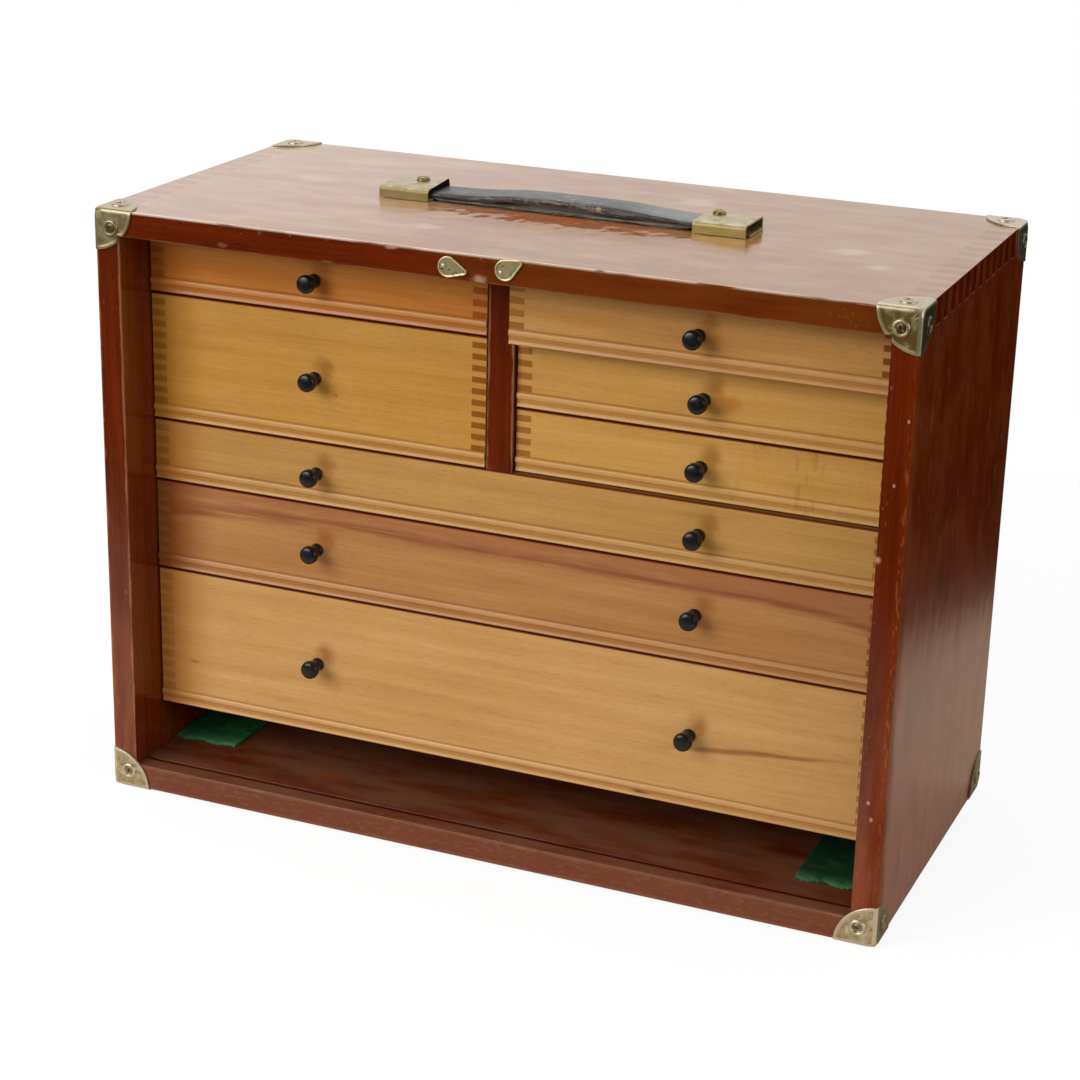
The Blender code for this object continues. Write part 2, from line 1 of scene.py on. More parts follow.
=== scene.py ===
"""A watchmaker's tool chest on white paper: mahogany carcass, beech drawers, brass caps, leather strap."""
import math
import random

import bmesh
import bpy
from mathutils import Matrix, Quaternion, Vector


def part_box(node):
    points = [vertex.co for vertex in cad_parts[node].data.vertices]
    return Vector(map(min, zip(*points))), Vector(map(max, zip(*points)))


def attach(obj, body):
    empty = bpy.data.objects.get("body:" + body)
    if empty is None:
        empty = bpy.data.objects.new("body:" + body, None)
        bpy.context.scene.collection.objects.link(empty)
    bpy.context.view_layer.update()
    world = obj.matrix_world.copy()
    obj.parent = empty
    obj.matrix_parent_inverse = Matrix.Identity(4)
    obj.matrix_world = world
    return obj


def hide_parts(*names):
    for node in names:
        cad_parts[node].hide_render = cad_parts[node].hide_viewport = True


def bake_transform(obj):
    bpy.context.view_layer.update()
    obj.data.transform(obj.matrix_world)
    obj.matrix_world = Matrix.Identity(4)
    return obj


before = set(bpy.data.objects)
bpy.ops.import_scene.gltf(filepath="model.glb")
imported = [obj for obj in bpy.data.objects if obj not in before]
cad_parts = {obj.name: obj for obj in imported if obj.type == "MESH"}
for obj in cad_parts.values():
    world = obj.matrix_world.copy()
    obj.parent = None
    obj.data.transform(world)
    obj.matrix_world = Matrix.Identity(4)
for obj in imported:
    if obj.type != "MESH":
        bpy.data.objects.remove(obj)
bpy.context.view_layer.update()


# Carcass: mahogany boards comb-jointed at the four corners, a divider housed in the top, and a back panel
# let into a rebate.  They were planed, stained, and brushed with varnish that has since bloomed and worn.
def linear(code):
    """An sRGB hex colour as the linear colour that a shader takes."""
    channels = [int(code[i:i + 2], 16) / 255 for i in (1, 3, 5)]
    return tuple(c / 12.92 if c <= 0.04045 else ((c + 0.055) / 1.055) ** 2.4 for c in channels) + (1.0,)


def add(tree, kind, inputs=(), out=0, **settings):
    """Adds one shader node and gives one of its outputs, or with out=None the node itself.

    kind may end in the node's mode, as in "Math ADD".  inputs are links, numbers or hex colours.
    """
    name, _, mode = kind.partition(" ")
    made = tree.nodes.new("ShaderNode" + name)
    if mode:
        settings["interpolation_type" if name == "MapRange" else "operation"] = mode
    for key, value in settings.items():
        if key == "stops":
            for spare in range(len(value) - len(made.color_ramp.elements)):
                made.color_ramp.elements.new(0.5)
            for stop, (place, code) in zip(made.color_ramp.elements, value):
                stop.position = place
                stop.color = linear(code)
        else:
            setattr(made, key, value)
    for key, value in (inputs if isinstance(inputs, dict) else dict(enumerate(inputs))).items():
        if isinstance(value, bpy.types.NodeSocket):
            tree.links.new(value, made.inputs[key])
        else:
            made.inputs[key].default_value = linear(value) if isinstance(value, str) else value
    return made if out is None else made.outputs[out]


def begin(name, colour, **sockets):
    """A new finish: a shader with its even values set, a colour to work on, and the place of a spot in mm."""
    material = bpy.data.materials.new(name)
    material.use_nodes = True
    tree = material.node_tree
    for key, value in sockets.items():
        tree.nodes["Principled BSDF"].inputs[key.replace("_", " ")].default_value = value
    mm = add(tree, "VectorMath SCALE", {0: add(tree, "TexCoord", out="Object"), "Scale": 1000.0})
    xyz = add(tree, "SeparateXYZ", [mm], None).outputs
    return {"material": material, "tree": tree, "colour": linear(colour), "mm": mm, "xyz": xyz}


def mottle(finish, size, low=0.0, high=1.0, most=1.0, seed=0.0, detail=3.0, base=0.0):
    """A cloudy mask whose lumps are about size mm, faded in between two noise levels.

    The size is along X, Y and Z, or on wood along the grain and then across it.
    """
    tree = finish["tree"]
    spot = finish.get("board", finish["mm"])
    shift = (seed * 7.31, seed * 3.17, seed * 5.53)
    scaled = add(tree, "VectorMath MULTIPLY_ADD", [spot, tuple(1 / s for s in size), shift])
    noise = add(tree, "TexNoise", {"Vector": scaled, "Scale": 1.0, "Detail": detail, "Roughness": 0.55})
    return add(tree, "MapRange SMOOTHSTEP", [noise, low, high, base, most])


def oval(finish, centre, reach, most=1.0, rag=0.0):
    """A soft-edged mask round a place in mm; rag frays its edge."""
    tree = finish["tree"]
    away = add(tree, "VectorMath SUBTRACT", [finish["mm"], centre])
    away = add(tree, "VectorMath MULTIPLY", [away, tuple(1 / r for r in reach)])
    away = add(tree, "VectorMath LENGTH", [away], 1)
    if rag:
        away = add(tree, "Math MULTIPLY_ADD", [mottle(finish, (7, 7, 7), seed=2), rag, away])
    return add(tree, "MapRange SMOOTHSTEP", [away, 1.0 + rag / 2, 0.15 + rag / 2, 0.0, most])


def stain(finish, masks, colour, mode="MIX"):
    """Lays a colour over the finish where all the masks are."""
    tree = finish["tree"]
    factor = masks[0]
    for mask in masks[1:]:
        factor = add(tree, "Math MULTIPLY", [factor, mask])
    layers = {0: factor, 6: finish["colour"], 7: colour}
    finish["colour"] = add(tree, "Mix", layers, 2, data_type="RGBA", blend_type=mode)


def edge_depth(finish, low, high):
    """How far a place lies from the nearest edge between two faces of a block, in mm: 0 on the arris."""
    tree = finish["tree"]
    above = add(tree, "VectorMath SUBTRACT", [finish["mm"], low])
    below = add(tree, "VectorMath SUBTRACT", [high, finish["mm"]])
    nearest = add(tree, "VectorMath MINIMUM", [above, below])
    x, y, z = add(tree, "SeparateXYZ", [nearest], None).outputs
    pair = add(tree, "Math MINIMUM", [x, y])
    rest = add(tree, "Math MINIMUM", [add(tree, "Math MAXIMUM", [x, y]), z])
    return add(tree, "Math MAXIMUM", [pair, rest])


ALONG_X, ALONG_Y, ALONG_Z = range(3)


def timber(name, grain, seed, tones, ring_mm, shares, pore, end_tone, **sockets):
    """Sawn wood: rings about a far pith, fibres, clouds, short pores along the grain and dark end grain.

    grain is the axis that the fibres follow; shares are the weights of rings, fibres, clouds and pores.
    """
    finish = begin(name, tones[1], **sockets)
    tree = finish["tree"]
    ring_share, fibre_share, cloud_share, pore_share = shares
    axes = [grain] + [axis for axis in range(3) if axis != grain]
    along = add(tree, "CombineXYZ", [finish["xyz"][axis] for axis in axes])
    rng = random.Random(seed)
    sawn_at = tuple(rng.uniform(-900, 900) for _ in range(3))
    finish["board"] = add(tree, "VectorMath ADD", [along, sawn_at])
    wander = add(tree, "VectorMath MULTIPLY", [finish["board"], (1 / 190, 1 / 45, 1 / 45)])
    wander = add(tree, "TexNoise", {"Vector": wander, "Scale": 1.0, "Detail": 2.0}, 1)
    bent = add(tree, "VectorMath MULTIPLY_ADD", [wander, (0, 24, 24), along])
    pith = (0.0, rng.uniform(40, 90), rng.uniform(-60, 60))
    ray = add(tree, "VectorMath MULTIPLY_ADD", [bent, (0.02, 1, 1), pith])
    ray = add(tree, "VectorMath LENGTH", [ray], 1)
    rings = add(tree, "Math SINE", [add(tree, "Math MULTIPLY", [ray, math.tau / ring_mm])])
    fibres = mottle(finish, (46, 0.9, 0.9), seed=1)
    streaks = mottle(finish, (150, 4.5, 4.5), seed=3)
    clouds = mottle(finish, (120, 34, 34), seed=4)
    level = add(tree, "Math MULTIPLY_ADD", [rings, ring_share / 2, 0.5 - fibre_share / 2 - cloud_share])
    for value, share in ((fibres, fibre_share), (streaks, cloud_share), (clouds, cloud_share)):
        level = add(tree, "Math MULTIPLY_ADD", [value, share, level])
    finish["colour"] = add(tree, "ValToRGB", [level], stops=list(zip((0.1, 0.5, 0.9), tones)))
    pores = mottle(finish, (5.0, 0.55, 0.55), 0.58, 0.72, pore_share, 5, 1.0)
    stain(finish, [pores], pore)
    facing = add(tree, "SeparateXYZ", [add(tree, "TexCoord", out="Normal")], None).outputs[grain]
    facing = add(tree, "Math ABSOLUTE", [facing])
    finish["end"] = add(tree, "MapRange SMOOTHSTEP", [facing, 0.6, 0.9])
    stain(finish, [finish["end"]], end_tone, "MULTIPLY")
    finish["relief"] = add(tree, "Math MULTIPLY_ADD", [pores, -1.0, fibres])
    return finish


def dress(finish, pieces, relief=0.00012, gloss=None):
    """Completes a shader with its colour, fine relief and change of gloss, and gives it to the pieces."""
    tree = finish["tree"]
    shader = tree.nodes["Principled BSDF"].inputs
    tree.links.new(finish["colour"], shader["Base Color"])
    bump = add(tree, "Bump", {"Strength": 0.8, "Distance": relief, "Height": finish["relief"]})
    tree.links.new(bump, shader["Normal"])
    if "wave" in finish:
        waves, ripple = finish["wave"]
        tree.links.new(add(tree, "Bump", {"Distance": ripple, "Height": waves}), shader["Coat Normal"])
    if gloss:
        low, high, size = gloss
        tree.links.new(mottle(finish, size, 0.3, 0.7, high, 8, 3.0, low), shader["Roughness"])
    for piece in pieces:
        piece.data.materials.clear()
        piece.data.materials.append(finish["material"])


def soften(node, width):
    """Rounds a CAD piece's sharp edges, as planing, polishing and use have done."""
    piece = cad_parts[node]
    piece.modifiers.new("weld", "WELD").merge_threshold = 0.00001
    bevel = piece.modifiers.new("worn_edges", "BEVEL")
    bevel.width = width
    bevel.segments = 2
    bevel.limit_method = "ANGLE"
    bevel.angle_limit = math.radians(40)


top_low, top_high = (corner * 1000 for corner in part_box("top_board"))
out_x, out_y, high_z = top_high
board_thick = high_z - top_low.z
in_x, low_z = out_x - board_thick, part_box("bottom_board")[0].z * 1000
# Pale rubs on the top, as x, y and reach in mm.
RUBS = ((181, -12, 12), (206, -41, 8), (-178, 20, 16), (60, 70, 14), (-60, -70, 10))


def bloom(finish, end_share):
    """The cloudy, faded look of the varnish on the upper face, over board and finger ends alike."""
    tree = finish["tree"]
    across, _, height = finish["xyz"]
    upper = add(tree, "MapRange SMOOTHSTEP", [height, high_z - 0.5, high_z - 0.15])
    ends = add(tree, "MapRange", [finish["end"], 0.0, 1.0, 0.85, end_share])
    flat = dict(finish, board=finish["mm"])
    stain(finish, [upper, ends], "#9e5c2c")
    stain(finish, [upper, ends, mottle(flat, (90, 50, 50), 0.34, 0.70, 0.55, 16)], "#b48e58")
    stain(finish, [upper, ends, mottle(flat, (46, 18, 18), 0.42, 0.80, 0.5, 17)], "#ccb292")
    stain(finish, [upper, ends, add(tree, "MapRange", [across, -120.0, 200.0, 0.0, 0.65])], "#986c34")
    stain(finish, [upper, ends, add(tree, "MapRange", [across, 20.0, -230.0, 0.0, 0.35])], "#d8c4b0")
    for x, y, reach in RUBS:
        rub = oval(finish, (x, y, high_z), (reach * 1.4, reach, 9), 0.45, 0.8)
        stain(finish, [upper, rub], "#d0b6a2")
    # A red patch on the top in front of the strap: partly clear varnish, partly a painted reflection of the
    # dark strap.
    stain(finish, [upper, oval(finish, (4, -16, high_z), (96, 24, 9), 0.6, 1.0)], "#ac4e20")


# Mahogany, planed, stained and varnished: deep red-brown with short dark pores along the grain, under a
# coat that is rubbed off the arrises and still bright at a low angle.
def mahogany(node, grain, seed, corners, coat_roughness, ripple, bare="#936244", wear=1.5):
    finish = timber("mahogany_varnished_" + node, grain, seed, ("#431102", "#601f02", "#792c05"), 11.0,
                    (0.06, 0.35, 0.45, 0.4), "#260a02", "#e6d4c8", Coat_Weight=1.0,
                    Coat_Roughness=coat_roughness, Coat_IOR=1.6, Specular_IOR_Level=0.0)
    tree = finish["tree"]
    if node in ("left_side", "right_side", "top_board"):
        bloom(finish, 0.72 if node == "left_side" else 0.5)
    depth = edge_depth(finish, *corners)
    worn = add(tree, "Math ADD", [depth, mottle(finish, (22, 6, 6), 0.3, 0.7, 1.3, 11)])
    worn = add(tree, "MapRange SMOOTHSTEP", [worn, wear + 0.6, wear - 0.5, 0.0, 0.75])
    stain(finish, [worn], bare)
    near = add(tree, "MapRange SMOOTHSTEP", [depth, 7.0, 0.5])
    chips = mottle(finish, (4.4, 2.4, 2.4), 0.65, 0.75, 0.7, 12, 2.0)
    stain(finish, [chips, near, mottle(finish, (45, 30, 30), 0.42, 0.62, 1.0, 18)], "#b58870")
    finish["wave"] = (mottle(finish, (34, 20, 20), seed=13, detail=1.0), ripple)
    return finish


FAR = 900.0
# Dents in the front edge of the right side, as x, z and reach in mm.
DENTS = ((243.2, 90.3, 1.4), (245.6, 80.2, 1.6), (238.6, 235.5, 2.4), (250.2, 315.8, 1.3), (244.6, 279, 1.2))
for node, seed, low, high in (
        ("left_side", 3, (-out_x, -out_y, -FAR), (-in_x, out_y, FAR)),
        ("right_side", 8, (in_x, -out_y, -FAR), (FAR, out_y, FAR)),
        ("centre_divider", 5, (-10.5, -87.0, -FAR), (5.9, FAR, FAR)),
        ("back_panel", 6, (-FAR, -FAR, -FAR), (FAR, FAR, FAR))):
    wear = 0.1 if node == "right_side" else 1.5
    finish = mahogany(node, ALONG_Z, seed, (low, high), 0.2, 0.00014, wear=wear)
    tree = finish["tree"]
    if node.endswith("side"):
        across, _, height = finish["xyz"]
        aside = add(tree, "Math ABSOLUTE", [across])
        outer = add(tree, "MapRange", [aside, out_x - 0.6, out_x - 0.2])
        # Towards the bottom, up to 240 mm, the outer faces and front edge turn a paler, warmer red-brown in
        # clouds.
        paler_low = add(tree, "MapRange SMOOTHSTEP", [height, 240.0, 20.0, 0.0, 0.5])
        not_inside = add(tree, "MapRange", [aside, in_x + 0.2, in_x + 0.8])
        stain(finish, [paler_low, not_inside, mottle(finish, (60, 12, 12), 0.3, 0.6, 1.0, 14)], "#8c4828")
        flat = dict(finish, board=finish["mm"])
        stain(finish, [outer, mottle(flat, (34, 34, 46), 0.36, 0.70, 0.55, 28)], "#7a401e")
        stain(finish, [outer, mottle(flat, (12, 8, 16), 0.56, 0.78, 0.4, 29)], "#8a5e46")
    if node == "right_side":
        for x, z, reach in DENTS:
            stain(finish, [oval(finish, (x, -out_y, z), (reach, 4, reach * 1.3), 0.8, 0.5)], "#c09478")
        rubbed = mottle(finish, (8, 1.6, 1.6), 0.50, 0.64, 0.6, 24)
        stain(finish, [oval(finish, (251.4, -out_y, 190), (2.4, 8, 230)), rubbed], "#8a5836")
        depth = edge_depth(finish, (-FAR, -out_y, -FAR), (out_x, FAR, FAR))
        depth = add(tree, "Math ADD", [mottle(finish, (30, 6, 6), 0.3, 0.7, 6.0, 39), depth])
        coat = add(tree, "MapRange SMOOTHSTEP", [depth, 3.0, 20.0, 0.3, 1.0])
        tree.links.new(coat, tree.nodes["Principled BSDF"].inputs["Coat Weight"])
    dress(finish, [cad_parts[node]], gloss=(0.34, 0.5, (60, 20, 20)))
    soften(node, 0.00018)

# The bottom board has lost more of its stain: its front edge is a faded pinkish brown with a bare arris,
# dust lies on its upper face, and the groove behind the edge is darkened with painted shade.
GROOVE_Y = -108.55
floor_z = low_z + board_thick
corners = ((-FAR, -out_y, low_z), (FAR, out_y, floor_z))
finish = mahogany("bottom_board", ALONG_X, 9, corners, 0.27, 0.0003, "#94705a", 2.4)
tree = finish["tree"]
_, deep, height = finish["xyz"]
front = add(tree, "MapRange SMOOTHSTEP", [deep, -108.0, -113.0, 0.0, 0.8])
stain(finish, [front, mottle(finish, (40, 8, 8), 0.1, 0.45, 1.0, 15)], "#6a331a")
stain(finish, [front, mottle(finish, (5, 2.2, 2.2), 0.5, 0.68, 0.3, 37)], "#8a5640")
stain(finish, [add(tree, "MapRange", [finish["end"], 0.0, 1.0, 0.0, 0.55])], "#8c5034")
dust = add(tree, "MapRange SMOOTHSTEP", [height, floor_z - 0.6, floor_z - 0.1, 0.0, 0.45])
stain(finish, [dust, mottle(finish, (60, 18, 18), 0.25, 0.65, 1.0, 19)], "#7c5c44")
stain(finish, [oval(finish, (-120, -84, floor_z), (20, 9, 9), 0.6, 0.6)], "#8a3416")
# Painted shade: the groove and about 2 mm round it are darkened on the upper face.
away = add(tree, "Math ABSOLUTE", [add(tree, "Math SUBTRACT", [deep, GROOVE_Y])])
groove_painted_shade = add(tree, "MapRange SMOOTHSTEP", [away, 2.0, 1.4, 0.0, 0.9])
stain(finish, [groove_painted_shade, add(tree, "MapRange", [height, 11.0, 13.0])], "#461006")
dress(finish, [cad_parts["bottom_board"]], gloss=(0.36, 0.55, (60, 20, 20)))
soften("bottom_board", 0.00015)

# The top has bloomed: under a bright coat, which lies in ripples beside the strap, the varnish is cloudy,
# with pale rubs and a chipped front arris.  The chips are x, z, width and height in mm.
TOP_CHIPS = ((-2, 364, 6, 4), (-57, 376.6, 6, 2.4), (-142, 374.5, 2.4, 2), (-167, 364.5, 4, 1.8),
             (-97, 362.4, 6, 1.4), (71, 377, 5, 1.6), (130, 377, 4, 1.6))
corners = ((-FAR, -out_y, -FAR), (FAR, out_y, high_z))
finish = mahogany("top_board", ALONG_X, 12, corners, 0.17, 0.0012, "#d4b4a0", 0.8)
tree = finish["tree"]
waves, ripple = finish["wave"]
rubbed = add(tree, "Math MULTIPLY_ADD", [oval(finish, (0, -16, high_z), (165, 50, 9)), 0.85, 0.25])
waves = add(tree, "Math MULTIPLY", [waves, rubbed])
runs = oval(finish, (4, -16, high_z), (125, 40, 9), 2.6)
waves = add(tree, "Math MULTIPLY_ADD", [mottle(finish, (13, 17, 17), seed=44, detail=1.5), runs, waves])
finish["wave"] = (waves, ripple)
depth = edge_depth(finish, (-FAR, -out_y, -FAR), (FAR, FAR, high_z))
arris = add(tree, "MapRange SMOOTHSTEP", [depth, 1.7, 0.5, 0.0, 0.85])
stain(finish, [arris, mottle(finish, (40, 9, 9), 0.3, 0.5, 1.0, 30)], "#dcc4b0")
depth = edge_depth(finish, (-FAR, -out_y, top_low.z), (FAR, FAR, FAR))
lower = add(tree, "MapRange SMOOTHSTEP", [depth, 0.9, 0.2, 0.0, 0.7])
stain(finish, [lower, mottle(finish, (30, 8, 8), 0.35, 0.6, 1.0, 20)], "#8c5c44")
for x, z, wide, tall in TOP_CHIPS:
    chip = oval(finish, (x, -out_y, z), (wide, 4, tall), 0.85, 1.2)
    stain(finish, [chip], "#b89478" if abs(x) < 60 else "#7c4830")
across, deep, _ = finish["xyz"]
front = add(tree, "MapRange SMOOTHSTEP", [deep, 0.9 - out_y, 0.3 - out_y])
right = add(tree, "MapRange SMOOTHSTEP", [across, -60.0, 40.0, 0.0, 0.3])
stain(finish, [front, right, mottle(finish, (60, 8, 8), 0.1, 0.6, 1.0, 40)], "#804a15")
scuffed = oval(finish, (214, -out_y, 368), (16, 5, 10))
stain(finish, [scuffed, mottle(finish, (2.6, 1.8, 1.8), 0.58, 0.70, 0.5, 23)], "#96604a")
dress(finish, [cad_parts["top_board"]], gloss=(0.30, 0.48, (40, 24, 24)))
soften("top_board", 0.00018)


# Panel pins: small brass pins driven through the back panel into the wood of its rebate, one about every
# 80 to 90 mm all round.
def turned(bm, profile, sides, matrix, material=0):
    """Adds a turned solid from (radius, height) points; the first and last lie on the local Z axis."""
    ends = [bm.verts.new(matrix @ Vector((0, 0, profile[k][1]))) for k in (0, -1)]
    spin = [math.tau * (k + 0.5) / sides for k in range(sides)]
    rings = []
    for radius, height in profile[1:-1]:
        points = [Vector((radius * math.cos(t), radius * math.sin(t), height)) for t in spin]
        rings.append([bm.verts.new(matrix @ point) for point in points])
    faces = []
    for k in range(sides):
        n = (k + 1) % sides
        faces.append(bm.faces.new((ends[0], rings[0][n], rings[0][k])))
        faces.append(bm.faces.new((ends[1], rings[-1][k], rings[-1][n])))
        faces += [bm.faces.new((a[k], a[n], b[n], b[k])) for a, b in zip(rings, rings[1:])]
    for face in faces:
        face.smooth = True
        face.material_index = material


def piece(name, bm, body, slot, nodes=()):
    """Makes a piece of a mesh, lets it ride on a body, and hides the CAD nodes that it stands for."""
    bmesh.ops.recalc_face_normals(bm, faces=bm.faces)
    mesh = bpy.data.meshes.new(name)
    bm.to_mesh(mesh)
    bm.free()
    made = bpy.data.objects.new(name, mesh)
    bpy.context.scene.collection.objects.link(made)
    if body:
        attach(made, body)
    if nodes:
        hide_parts(*nodes)
    return made


# Brass, pressed and long untouched: pale yellow where it is rubbed, olive and brown tarnish in the hollows.
def aged_brass(name, bright, tarnish, amount, spots, seed):
    finish = begin(name, bright, Metallic=0.85, Roughness=0.42)
    start = 0.70 - 0.55 * amount
    stain(finish, [mottle(finish, (7, 7, 7), start, start + 0.25, 0.9, seed)], tarnish)
    stain(finish, [mottle(finish, (1.6, 1.6, 1.6), 0.62, 0.74, spots, seed + 1, 2.0)], "#54452a")
    finish["relief"] = mottle(finish, (1.1, 1.1, 1.1), seed=seed + 3)
    return finish


PANEL_PIN = [(0, -0.001), (0.0012, -0.001), (0.0012, 0.0001), (0.0008, 0.00028), (0, 0.00032)]
PIN_LOW, PIN_HIGH, PIN_OUT, PIN_RISE = 0.0130, 0.3655, 0.2412, 0.0881
bm = bmesh.new()
pins = [(PIN_OUT * k / 3, z) for k in range(-3, 4) for z in (PIN_LOW, PIN_HIGH)]
pins += [(x, PIN_LOW + PIN_RISE * k) for x in (-PIN_OUT, PIN_OUT) for k in range(5)]
for x, z in pins:
    seat = Matrix.Translation((x, out_y / 1000, z)) @ Matrix.Rotation(math.radians(-90), 4, "X")
    turned(bm, PANEL_PIN, 12, seat)
pin_brass = aged_brass("brass_pin_dull", "#a8955c", "#6a5830", 0.5, 0.5, 25)
dress(pin_brass, [piece("panel_pins", bm, "carcass", "brass")], 0.00005)


# Glue: hide glue stands in the comb joints of the carcass to just under the surface.  It was stained and
# varnished with the wood, so it shows as fine dark lines between the fingers.
def block(bm, low, high):
    """Adds a box between two corners."""
    middle = Matrix.Translation((low + high) / 2)
    bmesh.ops.create_cube(bm, matrix=middle @ Matrix.Diagonal((*(high - low), 1.0)))


bm = bmesh.new()
skin = Vector((0.02, 0.02, 0.02))
GLUE_LAP = 0.25
for x in (-out_x, in_x):
    for z in (low_z, top_low.z):
        low, high = Vector((x, -out_y, z)), Vector((x + board_thick, out_y, z + board_thick))
        inward = Vector((GLUE_LAP if x < 0 else 0.0, 0.0, GLUE_LAP if z < 100 else 0.0))
        outward = Vector((0.0 if x < 0 else GLUE_LAP, 0.0, 0.0 if z < 100 else GLUE_LAP))
        block(bm, (low - outward + skin) / 1000, (high + inward - skin) / 1000)
glue = begin("hide_glue_stained", "#561c04", Coat_Weight=1.0, Coat_Roughness=0.15, Coat_IOR=1.6,
             Specular_IOR_Level=0.0)
upper = add(glue["tree"], "MapRange", [glue["xyz"][2], high_z - 0.5, high_z - 0.15])
stain(glue, [upper], "#94562e")
glue["relief"] = mottle(glue, (1, 1, 1), seed=26)
dress(glue, [piece("glue_carcass", bm, "carcass", "mahogany")], 0.00003)

# Corner caps: pressed brass with a raised border, screwed to the carcass through one ring boss on each face
# but the plain underside of the bottom ones.
# The upper front ones are nicked at the corner of the opening.  Border points are distance in from the rim
# and height, in metres; boss points are radius and height, in mm.
CAP_THICK, CAP_REACH, CAP_ROUND, BOSS_IN, SEAT = 0.0008, 0.0252, 0.0026, 0.0110, 0.0003
CAP_PROUD = (CAP_THICK + SEAT) * 1000
RIM_TURNS = (0, 1.5, 3, 4.5, 6.5, 10, 15, 20, 26, 32, 38.4, 41.5, 45)
RIM_TURNS += tuple(90 - turn for turn in reversed(RIM_TURNS[:-1]))
BORDER = [(0.0, 0.0), (0.0003, 0.0002), (0.0008, 0.0003), (0.0015, 0.00026), (0.0021, 0.00006)]
BORDER += [(0.0028, 0.0)] + [(0.005 + 0.003 * k, 0.0) for k in range(6)]
BOSS = [(0, -0.3), (5.3, -0.3), (5.3, 0.0), (5.15, 0.5), (4.7, 1.0), (4.2, 1.3), (3.8, 1.32), (3.35, 1.1),
        (3.05, 0.7), (2.9, 0.06), (0, 0.06)]


def slotted_head(bm, radius, height, slot, matrix, angle, material=0):
    """Adds a round screw head in two halves, with the driver's slot between them."""
    for half in (0, 1):
        spin = Matrix.Rotation(angle + math.pi * half, 4, "Z")
        start = math.asin(slot / 2 / radius)
        arc = [start + (math.pi - 2 * start) * k / 10 for k in range(11)]
        rings = []
        for share, level in ((1.0, 0.0), (1.0, 0.45), (0.86, 0.82), (0.55, 1.0)):
            r = radius * share
            ring = [(r * math.cos(t), max(slot / 2, r * math.sin(t))) for t in arc]
            rings.append([bm.verts.new(matrix @ spin @ Vector((x, y, height * level))) for x, y in ring])
        faces = [bm.faces.new(rings[-1]), bm.faces.new(rings[0][::-1])]
        for a, b in zip(rings, rings[1:]):
            faces += [bm.faces.new((a[k], a[(k + 1) % 11], b[(k + 1) % 11], b[k])) for k in range(11)]
        for face in faces:
            face.material_index = material


def cap_flange(bm, axis, nicked, plain):
    """One quarter-round flange of a cap, bent round to the next two; the wood is on the negative sides."""
    b, c = [a for a in range(3) if a != axis]
    skins = []
    for inner in (False, True):
        grid = []
        for turn in RIM_TURNS:
            across, down = math.cos(math.radians(turn)), math.sin(math.radians(turn))
            reach = CAP_REACH + CAP_THICK
            if nicked:
                reach = min(reach, (board_thick / 1000 + CAP_THICK) / max(min(across, down), 1e-6))
            row = []
            for drop, rise in BORDER + [(reach, 0.0)]:
                r = reach - drop
                sharp = Vector((CAP_THICK, CAP_THICK, CAP_THICK))
                sharp[b] -= r * across
                sharp[c] -= r * down
                core = Vector([min(v, CAP_THICK - CAP_ROUND) for v in sharp])
                flat = max(0.0, min(1.0, min(r * across, r * down) / 0.003 - 0.4))
                lift = -CAP_THICK if inner else (0.0 if plain else rise * flat)
                row.append(bm.verts.new(core + (sharp - core).normalized() * (CAP_ROUND + lift)))
            grid.append(row)
        skins.append(grid)
        for p, q in zip(grid, grid[1:]):
            for k in range(len(p) - 1):
                bm.faces.new((p[k], p[k + 1], q[k + 1], q[k])).smooth = True
    for k in range(len(RIM_TURNS) - 1):
        bm.faces.new((skins[0][k][0], skins[0][k + 1][0], skins[1][k + 1][0], skins[1][k][0]))


# Steel screws, slotted and browned with age: dull dark grey with rust in the slot.
screw_steel = begin("steel_screw_browned", "#5c5444", Metallic=1.0, Roughness=0.5)
stain(screw_steel, [mottle(screw_steel, (1.2, 1.2, 1.2), 0.45, 0.65, 0.8, 21)], "#3a2c20")
screw_steel["relief"] = mottle(screw_steel, (0.5, 0.5, 0.5), seed=22)
dress(screw_steel, [], 0.0001)

